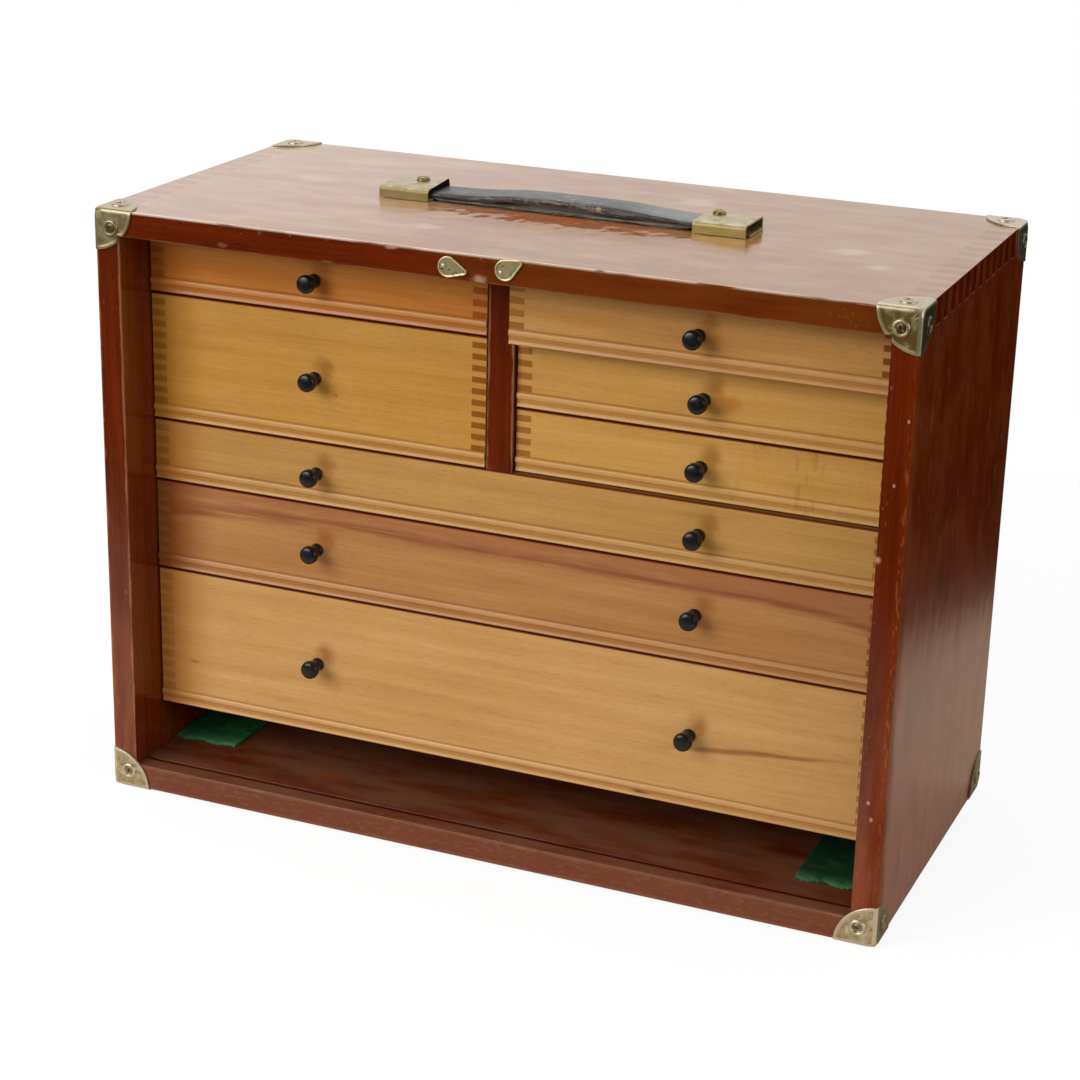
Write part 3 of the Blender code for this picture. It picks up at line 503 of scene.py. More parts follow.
# Each cap's bright tone, its tarnish, and the shares of tarnish and of dark spots.
CAP_TONES = {"top_front_left": ("#a89a76", "#806e44", 0.7, 0.3),
             "top_front_right": ("#ccc19a", "#7c5a1a", 0.8, 0.4)}
OTHER_CAPS = ("#dcd4ba", "#b2a684", 0.7, 0.6)
OUTWARD = (Matrix.Rotation(math.radians(90), 4, "Y"), Matrix.Rotation(math.radians(-90), 4, "X"), Matrix())
CORNERS = [(z, y, x) for z in ("top", "bottom") for y in ("front", "back") for x in ("left", "right")]
cap_low = Vector((-out_x - CAP_PROUD, -out_y - CAP_PROUD, low_z - CAP_PROUD))
cap_high = Vector((out_x + CAP_PROUD, out_y + CAP_PROUD, high_z + CAP_PROUD))
for number, (level, face, side) in enumerate(CORNERS):
    corner = f"{level}_{face}_{side}"
    hand = Vector((1 if side == "right" else -1, 1 if face == "back" else -1, 1 if level == "top" else -1))
    bm = bmesh.new()
    for axis in range(3):
        nicked = axis == 1 and face == "front" and level == "top"
        cap_flange(bm, axis, nicked, plain=axis == 2 and level == "bottom")
    bmesh.ops.remove_doubles(bm, verts=bm.verts, dist=0.000002)
    for axis in range(3):
        if axis == 2 and level == "bottom":
            continue
        centre = Vector((-BOSS_IN, -BOSS_IN, -BOSS_IN))
        centre[axis] = CAP_THICK
        seat = Matrix.Translation(centre) @ OUTWARD[axis]
        turned(bm, [(r / 1000, h / 1000) for r, h in BOSS], 28, seat)
        head = seat @ Matrix.Translation((0, 0, 0.00005))
        slotted_head(bm, 0.0025, 0.0005, 0.0007, head, 0.7 + 1.3 * number + 2.1 * axis, 1)
    wood = Vector((out_x, out_y, high_z if level == "top" else -low_z)) / 1000 + Vector((SEAT, SEAT, SEAT))
    bmesh.ops.translate(bm, vec=wood, verts=bm.verts)
    bmesh.ops.transform(bm, matrix=Matrix.Diagonal((*hand, 1.0)), verts=bm.verts)
    cap = piece("pressed_cap_" + corner, bm, "carcass", "brass", ["cap_" + corner])
    tones = CAP_TONES.get(corner, OTHER_CAPS)
    finish = aged_brass("brass_pressed_aged_" + corner, *tones, 30 + 4 * number)
    tree = finish["tree"]
    stain(finish, [mottle(finish, (3.2, 3.2, 3.2), 0.50, 0.66, 0.6, 31 + 4 * number)], "#847c50")
    stain(finish, [mottle(finish, (2.2, 2.2, 2.2), 0.62, 0.72, 0.5, 33 + 4 * number)], "#8a5c38")
    depth = edge_depth(finish, cap_low, cap_high)
    stain(finish, [add(tree, "MapRange SMOOTHSTEP", [depth, 3.4, 2.0, 0.0, 0.8])], tones[0])
    tip = tuple(cap_high[k] if hand[k] > 0 else cap_low[k] for k in range(3))
    away = add(tree, "VectorMath DISTANCE", [finish["mm"], tip], 1)
    stain(finish, [add(tree, "MapRange SMOOTHSTEP", [away, 23.4, 24.4, 0.0, 0.7])], tones[0])
    proud = add(tree, "VectorMath MULTIPLY", [finish["mm"], tuple(hand)])
    proud = add(tree, "VectorMath SUBTRACT", [proud, tuple(tip[k] * hand[k] for k in range(3))])
    x, y, z = add(tree, "SeparateXYZ", [proud], None).outputs
    proud = add(tree, "Math MAXIMUM", [add(tree, "Math MAXIMUM", [x, y]), z])
    stain(finish, [add(tree, "MapRange SMOOTHSTEP", [proud, 0.5, 1.1, 0.0, 0.6])], tones[0])
    # Painted shadow: a dark round patch in the hollow of the boss on each cap's front or back face, round its
    # screw.
    hollow = [hand[k] * (wood[k] + (0.001 if k == 1 else -BOSS_IN)) * 1000 for k in range(3)]
    stain(finish, [oval(finish, hollow, (3.7, 3.7, 3.7), 0.8)], "#4c4228")
    # Painted light on the flanges: those facing the sides are darkened with painted shade, and those on the
    # top and bottom faces are made pale with a painted reflection of the bright room.
    side_flange_shade = "#403c2c" if level == "top" else "#6a6244"
    stain(finish, [add(tree, "MapRange", [x, -0.65, -0.35, 0.0, 0.85])], side_flange_shade)
    stain(finish, [add(tree, "MapRange", [z, -0.65, -0.35, 0.0, 0.8])], "#c6b6a2")
    dress(finish, [cap], 0.00006)
    cap.data.materials.append(screw_steel["material"])

# Drawer boxes: beech sides and back, comb-jointed to the front and grooved for the runners.  The ends of
# the side's fingers show on the face as darker end grain, with hide glue between.  The bottoms are plywood.
BEECH = {
    "left_upper": ("#a05c1e", "#b8722e", "#c8863e"),
    "left_deep": ("#a87430", "#bb883f", "#c9994f"),
    "right_upper": ("#a87238", "#ba864a", "#c8985a"),
    "right_middle": ("#ae7a3a", "#c2904a", "#cea05a"),
    "right_lower": ("#ae7c3a", "#c4934c", "#d0a25e"),
    "full_upper": ("#a27138", "#b6884a", "#c4985a"),
    "full_middle": ("#9a6634", "#ac7846", "#ba8a58"),
    "full_lower": ("#ae7e46", "#c09157", "#cba068"),
}
# The tones that darken the finger ends on the left and on the right of a front.
FINGER_TONES = {
    "left_upper": ("#f0c898", "#e4dcc4"),
    "left_deep": ("#e8c48c", "#d4c8b0"),
    "right_upper": ("#dac6ae", "#d2ba9a"),
    "right_middle": ("#ccb090", "#e0ccb0"),
    "right_lower": ("#ccb090", "#e4d0b4"),
    "full_middle": ("#dcc8b4", "#ecdccc"),
}
OTHER_FINGERS = ("#ecca9c", "#f0ece4")
SIDE_THICK, FINGER_LONG = 9.2, 10.2


# Beech, planed and varnished: warm yellow-brown and even, with fine short flecks and faint streaks.
def beech(name, grain, seed, tones, end_tone):
    return timber(name, grain, seed, tones, 16.0, (0.10, 0.30, 0.40, 0.22), "#7c4c20", end_tone,
                  Coat_Weight=0.4, Coat_Roughness=0.25, Specular_IOR_Level=0.1)


for number, (drawer, tones) in enumerate(BEECH.items()):
    end_left, end_right = FINGER_TONES.get(drawer, OTHER_FINGERS)
    finish = beech(f"beech_planed_{drawer}_box", ALONG_Y, 60 + number, tones, end_left)
    low, high = (corner * 1000 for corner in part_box(drawer + "_box"))
    far_end = add(finish["tree"], "MapRange", [finish["xyz"][0], high.x - 20.0, high.x - 12.0])
    stain(finish, [far_end, finish["end"]], end_right, "MULTIPLY")
    dress(finish, [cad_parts[drawer + "_box"]], gloss=(0.4, 0.55, (40, 10, 10)))
    soften(drawer + "_box", 0.0001)

    # Hide glue, set hard: brown lines between the fingers, darker than the wood.
    bm = bmesh.new()
    for x in (low.x, high.x - SIDE_THICK):
        start, end = Vector((x, low.y, low.z)), Vector((x + SIDE_THICK, low.y + FINGER_LONG, high.z))
        block(bm, (start + skin) / 1000, (end - skin) / 1000)
    finish = begin(f"hide_glue_{drawer}", tones[0], Roughness=0.5, Specular_IOR_Level=0.1)
    finish["relief"] = mottle(finish, (1, 1, 1), seed=27)
    finish["colour"] = add(finish["tree"], "Mix", {0: 0.5, 6: tones[0], 7: "#6a3c18"}, 2, data_type="RGBA")
    dress(finish, [piece(f"glue_{drawer}", bm, "drawer_" + drawer, "drawer_wood")], 0.00003)

    # Birch plywood, sanded and left bare: pale and even, with dark glue lines 1 mm apart on its cut edges.
    ply = timber(f"birch_plywood_{drawer}", ALONG_X, 80 + number, ("#b89058", "#cba86e", "#d8ba86"), 24.0,
                 (0.12, 0.25, 0.3, 0.2), "#a07848", "#b89878")
    tree = ply["tree"]
    layer = add(tree, "Math SINE", [add(tree, "Math MULTIPLY", [ply["xyz"][2], math.tau])])
    stain(ply, [add(tree, "MapRange", [layer, 0.2, 0.5, 0.0, 0.4]), ply["end"]], "#7a5630")
    dress(ply, [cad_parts[drawer + "_bottom"]], gloss=(0.5, 0.65, (40, 10, 10)))

# Drawer fronts: beech, each with a bead and a cove run along the whole of its lower edge.  Each was cut from
# another board, so tone, figure and stains differ; each is browned above and to the right of its knobs.
# The left ends of these fronts are tinted orange: partly the finish, partly painted shade from the left side
# of the chest.
LEFT_ENDS = {"left_upper": ("#b4641e", 0.6), "left_deep": ("#bc7a28", 0.6), "full_upper": ("#b87028", 0.7),
             "full_middle": ("#8c481a", 0.9), "full_lower": ("#b4722c", 0.7)}
# The moulding's section, as how far it stands out and its height, in mm.
BEAD = [(-1.0, 9.2), (0.02, 9.25), (0.25, 9.1), (0.65, 8.8), (1.02, 8.3), (1.28, 7.6), (1.34, 6.8),
        (1.24, 6.0), (0.98, 5.4), (0.62, 5.0), (0.36, 4.7), (0.22, 4.2), (0.2, 3.5), (0.28, 2.6), (0.48, 1.8),
        (0.78, 1.1), (0.95, 0.7), (0.97, 0.28), (-1.0, 0.28)]
KNOB_AT = 123.5
for number, (drawer, tones) in enumerate(BEECH.items()):
    low, high = (corner * 1000 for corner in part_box(drawer + "_front"))
    middle = (low + high) / 2
    finish = beech(f"beech_varnished_{drawer}_front", ALONG_X, 100 + number, tones, "#d0b090")
    tree = finish["tree"]
    across, deep, height = finish["xyz"]
    # Bands along the moulding: a dark line above the bead, a pale band on its crest and a darker band in the
    # cove below; partly wear and dirt, partly painted highlight on the crest and painted shade above the bead
    # and in the cove.
    for rise, reach, colour in ((9.4, 0.9, "#7e4a1e"), (6.8, 1.8, "#cc9c68"), (3.4, 1.8, "#935a26")):
        away = add(tree, "Math ABSOLUTE", [add(tree, "Math SUBTRACT", [height, low.z + rise])])
        stain(finish, [add(tree, "MapRange SMOOTHSTEP", [away, reach, 0.1, 0.0, 0.45])], colour)
    if drawer == "full_middle":
        arch = add(tree, "Math ABSOLUTE", [add(tree, "Math DIVIDE", [across, 225.0])])
        arch = add(tree, "Math MULTIPLY_ADD", [add(tree, "Math POWER", [arch, 7.0]), -9.5, 187.0])
        above = add(tree, "Math SUBTRACT", [height, arch])
        above = add(tree, "Math MULTIPLY_ADD", [mottle(finish, (90, 14, 14), seed=31), -6.0, above])
        over = add(tree, "MapRange SMOOTHSTEP", [above, -5.5, -1.5, 0.0, 0.6])
        stain(finish, [over, mottle(finish, (80, 6, 6), 0.25, 0.55, 1.0, 38)], "#96583a")
        away = add(tree, "Math ABSOLUTE", [add(tree, "Math ADD", [above, 1.8])])
        heart = add(tree, "MapRange SMOOTHSTEP", [away, 6.0, 0.4, 0.0, 0.6])
        stain(finish, [heart, mottle(finish, (60, 3, 3), 0.3, 0.6, 1.0, 32)], "#763a26")
    if drawer == "full_lower":
        rise = add(tree, "Math MULTIPLY_ADD", [across, 0.105, 73.5])
        away = add(tree, "Math SUBTRACT", [height, rise])
        away = add(tree, "Math ADD", [mottle(finish, (60, 10, 10), 0.0, 1.0, 4.0, 33), away])
        away = add(tree, "Math ABSOLUTE", [add(tree, "Math SUBTRACT", [away, 2.0])])
        streak = add(tree, "MapRange SMOOTHSTEP", [away, 2.4, 0.2])
        stain(finish, [streak, oval(finish, (165, middle.y, 91), (75, 40, 40), 0.75)], "#7e4420")
        stain(finish, [oval(finish, (94, middle.y, 52), (9, 20, 1.6), 0.8, 0.5)], "#5a2c10")
        stain(finish, [oval(finish, (-213, middle.y, 80), (6, 20, 1.2), 0.7, 0.3)], "#6a3c1a")
    if drawer == "right_middle":
        stain(finish, [oval(finish, (138, middle.y, 300), (10, 20, 7), 0.6, 0.9)], "#b06a18")
    if drawer == "right_lower":
        lean = mottle(finish, (2.6, 14.0, 14.0), 0.52, 0.74, 0.4, 34, 1.0)
        right = add(tree, "MapRange SMOOTHSTEP", [across, 90.0, 190.0])
        stain(finish, [lean, right, mottle(finish, (30, 60, 60), 0.35, 0.6, 1.0, 35)], "#96602c")
    if drawer == "left_deep":
        stain(finish, [oval(finish, (-110, middle.y, 272), (2.2, 9, 1.8), 0.7, 0.4)], "#8a4e1c")
    for x in ((-KNOB_AT, KNOB_AT) if drawer.startswith("full") else (middle.x,)):
        # A brown mark above and to the right of each knob.
        knob_mark = oval(finish, (x + 6, middle.y, middle.z + 7), (10, 30, 11), 0.6, 0.5)
        stain(finish, [knob_mark], "#8c4c18")
    if drawer in LEFT_ENDS:
        colour, share = LEFT_ENDS[drawer]
        edge = add(tree, "MapRange SMOOTHSTEP", [across, -190.0, -234.0, 0.0, share])
        stain(finish, [edge, mottle(finish, (60, 12, 12), 0.1, 0.5, 1.0, 36)], colour)
    # Painted shade in the gaps between the drawers: the top and bottom faces of each front are darkened just
    # behind its arris, less on right_upper, which stands further out.
    gap_shade_share = 0.4 if drawer == "right_upper" else 0.92
    gap_shade = add(tree, "MapRange", [deep, low.y + 6.0, low.y + 3.0, 0.0, gap_shade_share])
    upper = add(tree, "MapRange SMOOTHSTEP", [height, high.z - 0.9, high.z - 0.4])
    stain(finish, [upper, gap_shade], "#6a2008")
    lower = add(tree, "MapRange SMOOTHSTEP", [height, low.z + 0.8, low.z + 0.3])
    stain(finish, [lower, gap_shade], "#602010")
    box_low, box_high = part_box(drawer + "_box")
    bm = bmesh.new()
    ends = [[bm.verts.new((x, box_low.y - y / 1000, box_low.z + z / 1000)) for y, z in BEAD]
            for x in (box_low.x + 0.0001, box_high.x - 0.0001)]
    for cut in ends:
        for edge in bm.faces.new(cut).edges:
            edge.smooth = False
    for k in range(len(BEAD)):
        n = (k + 1) % len(BEAD)
        bm.faces.new((ends[0][k], ends[0][n], ends[1][n], ends[1][k])).smooth = True
    bead = piece("bead_" + drawer, bm, "drawer_" + drawer, "drawer_wood")
    dress(finish, [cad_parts[drawer + "_front"], bead], gloss=(0.36, 0.5, (60, 14, 14)))
    soften(drawer + "_front", 0.00015)

# Knobs: turned, black and polished, each screwed to its front from inside.  A foot, a waist and a broad head
# with a slightly domed face; the points are radius and height in mm.
KNOB = [(0, 0), (4.1, 0), (4.25, 0.35), (4.05, 0.9), (3.55, 2.0), (3.3, 3.2), (3.35, 4.6), (3.75, 5.9),
        (4.7, 7.4), (5.4, 8.5), (5.66, 9.4), (5.7, 10.6), (5.62, 11.7), (5.3, 12.6), (4.7, 13.1),
        (3.4, 13.45), (1.7, 13.7), (0, 13.8)]
knobs = []
for drawer in BEECH:
    for end in (("_knob_left", "_knob_right") if drawer.startswith("full") else ("_knob",)):
        low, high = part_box(drawer + end)
        foot = Matrix.Translation(((low.x + high.x) / 2, high.y, (low.z + high.z) / 2))
        foot = foot @ Matrix.Rotation(math.radians(90), 4, "X")
        bm = bmesh.new()
        turned(bm, [(r / 1000, h / 1000) for r, h in KNOB], 40, foot)
        knobs.append(piece("turned_" + drawer + end, bm, "drawer_" + drawer, "knob_black", [drawer + end]))

# Ebonised wood, turned and buffed: near black, with a hazy highlight and fine rings from the lathe.
black = begin("ebonised_turned_polished", "#0e0e11", Roughness=0.3, Specular_IOR_Level=0.4)
stain(black, [mottle(black, (2, 2, 2), 0.45, 0.7, 0.6, 41)], "#1e1e22")
stain(black, [mottle(black, (0.5, 3, 3), 0.66, 0.74, 0.5, 42, 1.0)], "#3c3a3a")
black["relief"] = mottle(black, (0.8, 0.3, 0.8), seed=43)
dress(black, knobs, 0.00003)

# Handle brackets: brass strip folded to a flat hoop, screwed to the top through one dome-headed screw each.
# The strap's brass ends slide in them when the handle is lifted.
grip_low, grip_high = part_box("handle_grip")
MID_X, MID_Y, BASE = (grip_low.x + grip_high.x) / 2, (grip_low.y + grip_high.y) / 2, grip_low.z
SCREW_BACK, SCREW_TOP = 0.0080, 0.0079
SCREW = [(0, 0), (0.0016, 0), (0.0016, 0.0076), (0.0039, 0.0076), (0.0041, SCREW_TOP), (0, SCREW_TOP)]
bracket_brass = aged_brass("brass_folded_rubbed", "#c0b598", "#a89870", 0.6, 0.4, 51)
tree = bracket_brass["tree"]
across = bracket_brass["xyz"][0]
# Painted shade: the faces of the brackets that look to the front are darkened, the left bracket's more than
# the right's.
ahead = add(tree, "SeparateXYZ", [add(tree, "TexCoord", out="Normal")], None).outputs[1]
ahead = add(tree, "MapRange", [ahead, -0.8, -0.97, 0.0, 0.85])
stain(bracket_brass, [ahead, add(tree, "MapRange", [across, -20.0, 20.0])], "#98844a")
stain(bracket_brass, [ahead, add(tree, "MapRange", [across, 20.0, -20.0])], "#6a5a30")
dress(bracket_brass, [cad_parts["handle_bracket_" + side] for side in ("left", "right")], 0.00005)
dull_ends = [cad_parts["handle_end_" + side] for side in ("left", "right")]
for side, x, angle in (("left", -0.1000, 0.5), ("right", 0.0938, 1.2)):
    soften("handle_bracket_" + side, 0.0003)
    bm = bmesh.new()
    stand = Matrix.Translation((MID_X + x, MID_Y + SCREW_BACK, BASE))
    turned(bm, SCREW, 24, stand)
    slotted_head(bm, 0.0040, 0.0019, 0.0008, stand @ Matrix.Translation((0, 0, SCREW_TOP)), angle)
    dull_ends.append(piece("bracket_screw_" + side, bm, "carcass", "brass"))
dress(aged_brass("brass_strip_dull", "#a8955c", "#6a5830", 0.5, 0.5, 55), dull_ends, 0.00005)

# Strap: black bridle leather, a flat lower strip and a padded upper one, with a slit between.  It is held at
# each end on a brass plate inside the bracket, and it bends where it leaves the plate.  The lines are heights
# along the strap, in mm from its middle and from its base.
HALF_WIDTH = (grip_high.y - grip_low.y) / 2
TOP_LINE = ((-90, 4.9), (-84, 5.3), (-72, 5.6), (-60, 6.0), (-50, 6.6), (-42, 7.4), (-30, 8.4), (-12, 8.8),
            (28, 8.8), (40, 8.5), (50, 7.8), (60, 7.0), (76, 6.0), (84, 5.7), (90, 5.6))
SLIT_LINE = ((-90, 2.7), (-46, 2.7), (-44, 2.9), (-36, 4.3), (-24, 5.0), (12, 5.0), (20, 4.4), (26, 2.9),
             (28, 2.7), (90, 2.7))
SEAM_LINE = ((-90, 2.6), (90, 2.6))
FOOT_LINE = ((-90, 1.8), (-83, 1.75), (-79, 0.15), (79, 0.15), (83, 1.75), (90, 1.8))
HALF_SECTION = ((1.0, 0.08), (1.0, 0.56), (0.985, 0.72), (0.95, 0.84), (0.88, 0.92), (0.74, 0.965),
                (0.45, 0.99), (0.0, 1.0))


def along_line(line, x):
    """The height of a drawn line at x, eased between its points; all in mm."""
    for (x0, z0), (x1, z1) in zip(line, line[1:]):
        if x <= x1:
            share = (x - x0) / (x1 - x0)
            return z0 + (z1 - z0) * share * share * (3 - 2 * share)
    return line[-1][1]


def strap_layer(bm, start, end, floor_line, roof_line):
    """One layer between two places along the strap: flat below, its edges rounded, its back crowned."""
    count = max(6, int((end - start) / 2.2))
    section = list(HALF_SECTION) + [(-y, z) for y, z in reversed(HALF_SECTION[:-1])]
    section += [(-0.97, 0.0), (0.0, 0.0), (0.97, 0.0)]
    rings = []
    for k in range(count + 1):
        x = start + (end - start) * k / count
        low, high = along_line(floor_line, x), along_line(roof_line, x)
        wobble = 0.00012 * math.sin(x * 0.21) + 0.00008 * math.sin(x * 0.53 + 1.0)
        ring = []
        for y, z in section:
            ring.append(bm.verts.new((MID_X + x / 1000, MID_Y + y * HALF_WIDTH + wobble * abs(y),
                                      BASE + (low + (high - low) * z) / 1000)))
        rings.append(ring)
    for cut in (bm.faces.new(rings[0]), bm.faces.new(rings[-1])):
        for edge in cut.edges:
            edge.smooth = False
    for a, b in zip(rings, rings[1:]):
        for i in range(len(a)):
            bm.faces.new((a[i], a[(i + 1) % len(a)], b[(i + 1) % len(a)], b[i])).smooth = True


STRAP = (("end_left", -90, -67), ("bend_left", -67, -38), ("grip", -38, 38), ("bend_right", 38, 67),
         ("end_right", 67, 90))
STANDS_FOR = {"upper_grip": ["handle_grip"], "upper_bend_left": ["handle_tail_left"],
              "upper_bend_right": ["handle_tail_right"]}
straps = {"lower": [], "upper": []}
for layer, floor_line, roof_line in (("lower", FOOT_LINE, SEAM_LINE), ("upper", SLIT_LINE, TOP_LINE)):
    for part, start, end in STRAP:
        bm = bmesh.new()
        strap_layer(bm, start, end, floor_line, roof_line)
        body = "handle_grip" if part == "grip" else None
        strap = piece(f"strap_{layer}_{part}", bm, body, "leather", STANDS_FOR.get(f"{layer}_{part}", []))
        side = part.split("_")[-1]
        hand = -1 if side == "left" else 1
        if part.startswith("end"):
            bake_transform(strap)
        elif part.startswith("bend"):
            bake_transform(strap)
        straps[layer].append(strap)

# A thin curled lip of leather stands against the left bracket's mouth, higher at the back.  It is matt and
# almost black: painted shade for the dark opening of the mouth.
LIP = ((-0.0120, 0.0046), (-0.0118, 0.0074), (0.0, 0.0082), (0.0122, 0.0092), (0.0124, 0.0046))
bm = bmesh.new()
lip = [[bm.verts.new((MID_X - x, MID_Y + y, BASE + z)) for y, z in LIP] for x in (0.0853, 0.0844)]
bm.faces.new(lip[0])
bm.faces.new(lip[1])
for k in range(len(LIP)):
    n = (k + 1) % len(LIP)
    bm.faces.new((lip[0][k], lip[0][n], lip[1][n], lip[1][k]))
curl = piece("strap_curl", bm, None, "leather")
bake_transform(curl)
lip_shade = begin("leather_lip_mouth_shade", "#0c0b0a", Roughness=0.9, Specular_IOR_Level=0.05)
stain(lip_shade, [mottle(lip_shade, (3, 3, 3), 0.45, 0.7, 0.6, 59)], "#1e1712")
lip_shade["relief"] = mottle(lip_shade, (0.8, 0.8, 0.8), seed=60)
dress(lip_shade, [curl], 0.0001)

# Bridle leather, blacked and waxed, now dry: a painted grey sheen, fine grain, brown cut edges, and cracks
# across the grip where the black has flaked off to tan.  The lower strip is browner.
for layer, dye, painted_sheen, painted_top_sheen in (("lower", "#2c2622", "#3c3631", "#9c8e80"),
                                 ("upper", "#1c1b1a", "#32312f", "#343432")):
    leather = begin("leather_bridle_" + layer, dye, Roughness=0.45, Coat_Weight=0.35, Coat_Roughness=0.25)
    tree = leather["tree"]
    # A painted sheen: clouds of grey over the black.
    stain(leather, [mottle(leather, (14, 5, 5), 0.4, 0.7, 0.8, 61)], painted_sheen)
    _, ahead, upward = add(tree, "SeparateXYZ", [add(tree, "TexCoord", out="Normal")], None).outputs
    side_on = add(tree, "MapRange", [add(tree, "Math ABSOLUTE", [ahead]), 0.6, 0.9, 0.0, 0.8])
    # Painted shade: the sides of the strap, facing front and back, are darkened nearly to black; the brown
    # mottle over them is the cut edge.
    stain(leather, [side_on], "#14110f")
    stain(leather, [side_on, mottle(leather, (12, 3, 3), 0.45, 0.7, 0.5, 62)], "#4c3424")
    grip = oval(leather, (-8, MID_Y * 1000, 385), (58, 70, 70), 1.0)
    # A painted sheen on the faces that look up at the grip, pale on the lower strip.
    stain(leather, [add(tree, "MapRange", [upward, 0.6, 0.9, 0.0, 0.7]), grip], painted_top_sheen)
    stain(leather, [add(tree, "MapRange", [upward, -0.3, -0.7, 0.0, 0.9])], "#8a5a36")
    lumps = mottle(leather, (15, 3.2, 3.2), seed=67)
    stain(leather, [mottle(leather, (24, 2.0, 2.0), 0.46, 0.60, 0.7, 68)], "#0d0c0b")
    stain(leather, [mottle(leather, (18, 1.6, 1.6), 0.54, 0.66, 0.5, 69)], "#77736a")
    creases = mottle(leather, (1.3, 14, 14), 0.35, 0.65, 1.0, 63)
    stain(leather, [mottle(leather, (2.2, 5, 5), 0.50, 0.66, 0.6, 66), grip, creases], "#75695a")
    stain(leather, [mottle(leather, (7, 2.4, 2.4), 0.54, 0.66, 0.8, 64), grip], "#8a7050")
    # A painted sheen: the top of the strap's right end is lighter grey.
    right_end_sheen = add(tree, "MapRange", [leather["xyz"][0], 36.0, 58.0, 0.0, 0.8])
    stain(leather, [right_end_sheen, add(tree, "MapRange", [upward, 0.7, 0.95])], "#767670")
    for x, y in ((-23, -5), (24, -8)):
        stain(leather, [oval(leather, (x, y, 384.5), (2.4, 2.6, 2.2), 0.8, 0.8)], "#b09660")
    relief = mottle(leather, (0.9, 0.9, 0.9), seed=65)
    for height, share in ((creases, 0.8), (lumps, 5.0)):
        relief = add(tree, "Math MULTIPLY_ADD", [height, share, relief])
    leather["relief"] = relief
    dress(leather, straps[layer], 0.0003)

# Turn plates: small cast brass drops with a raised rim, each on one pin in the edge of the top board.  They
# turn across the opening to hold a panel in.  Rim points are distance in from the outline and height.
DISC, TIP, DISC_AT, TIP_AT = 0.0062, 0.0020, 0.0028, 0.0128
PIVOT_Y, PIVOT_Z = -0.12105, 0.3693
RIM = ((0.0003, 0.0), (0.0, 0.0002), (0.0, 0.0007), (0.0002, 0.00092), (0.0005, 0.001), (0.0009, 0.00095),
       (0.0012, 0.00075), (0.0014, 0.0006))
PIVOT = [(0, 0.0003), (0.0013, 0.0003), (0.0013, 0.0008), (0.0010, 0.0011), (0.0005, 0.00125), (0, 0.0013)]
meet = math.acos((DISC - TIP) / (TIP_AT - DISC_AT))
outline = [(DISC_AT, DISC, meet + (math.tau - 2 * meet) * k / 36) for k in range(37)]
outline += [(TIP_AT, TIP, -meet + 2 * meet * k / 10) for k in range(11)]
plates = []
for side, x, angle in (("left", -0.0238, -11.0), ("right", 0.0117, 30.0)):
    bm = bmesh.new()
    rings = []
    for inset, height in RIM:
        rings.append([bm.verts.new((at + (r - inset) * math.cos(t), -height, (r - inset) * math.sin(t)))
                      for at, r, t in outline])
    bm.faces.new(rings[0])
    bm.faces.new(rings[-1])
    for a, b in zip(rings, rings[1:]):
        for k in range(len(a)):
            bm.faces.new((a[k], a[(k + 1) % len(a)], b[(k + 1) % len(a)], b[k])).smooth = True
    turned(bm, PIVOT, 20, Matrix.Rotation(math.radians(90), 4, "X"))
    put = Matrix.Translation((x, PIVOT_Y, PIVOT_Z)) @ Matrix.Rotation(math.radians(-angle), 4, "Y")
    bmesh.ops.transform(bm, matrix=put, verts=bm.verts)
    plates.append(piece("cast_turn_plate_" + side, bm, "turn_plate_" + side, "brass", ["turn_plate_" + side]))

# Brass, cast and nickelled, the plating worn: greenish silver in the hollow, cream on the rubbed rim, and
# dark spots.
plate_brass = begin("brass_nickelled_worn", "#bcac80", Metallic=0.8, Roughness=0.42)
stain(plate_brass, [mottle(plate_brass, (4, 4, 4), 0.4, 0.65, 0.7, 71)], "#a09468")
stain(plate_brass, [mottle(plate_brass, (2.4, 2.4, 2.4), 0.60, 0.66, 0.95, 72, 2.0)], "#2e2c1c")
rim_y = PIVOT_Y * 1000 - 0.8
proud = add(plate_brass["tree"], "MapRange SMOOTHSTEP", [plate_brass["xyz"][1], rim_y, rim_y - 0.2, 0.0, 0.9])
stain(plate_brass, [proud], "#e8d6a8")
plate_brass["relief"] = mottle(plate_brass, (0.9, 0.9, 0.9), seed=73)
dress(plate_brass, plates, 0.00006)

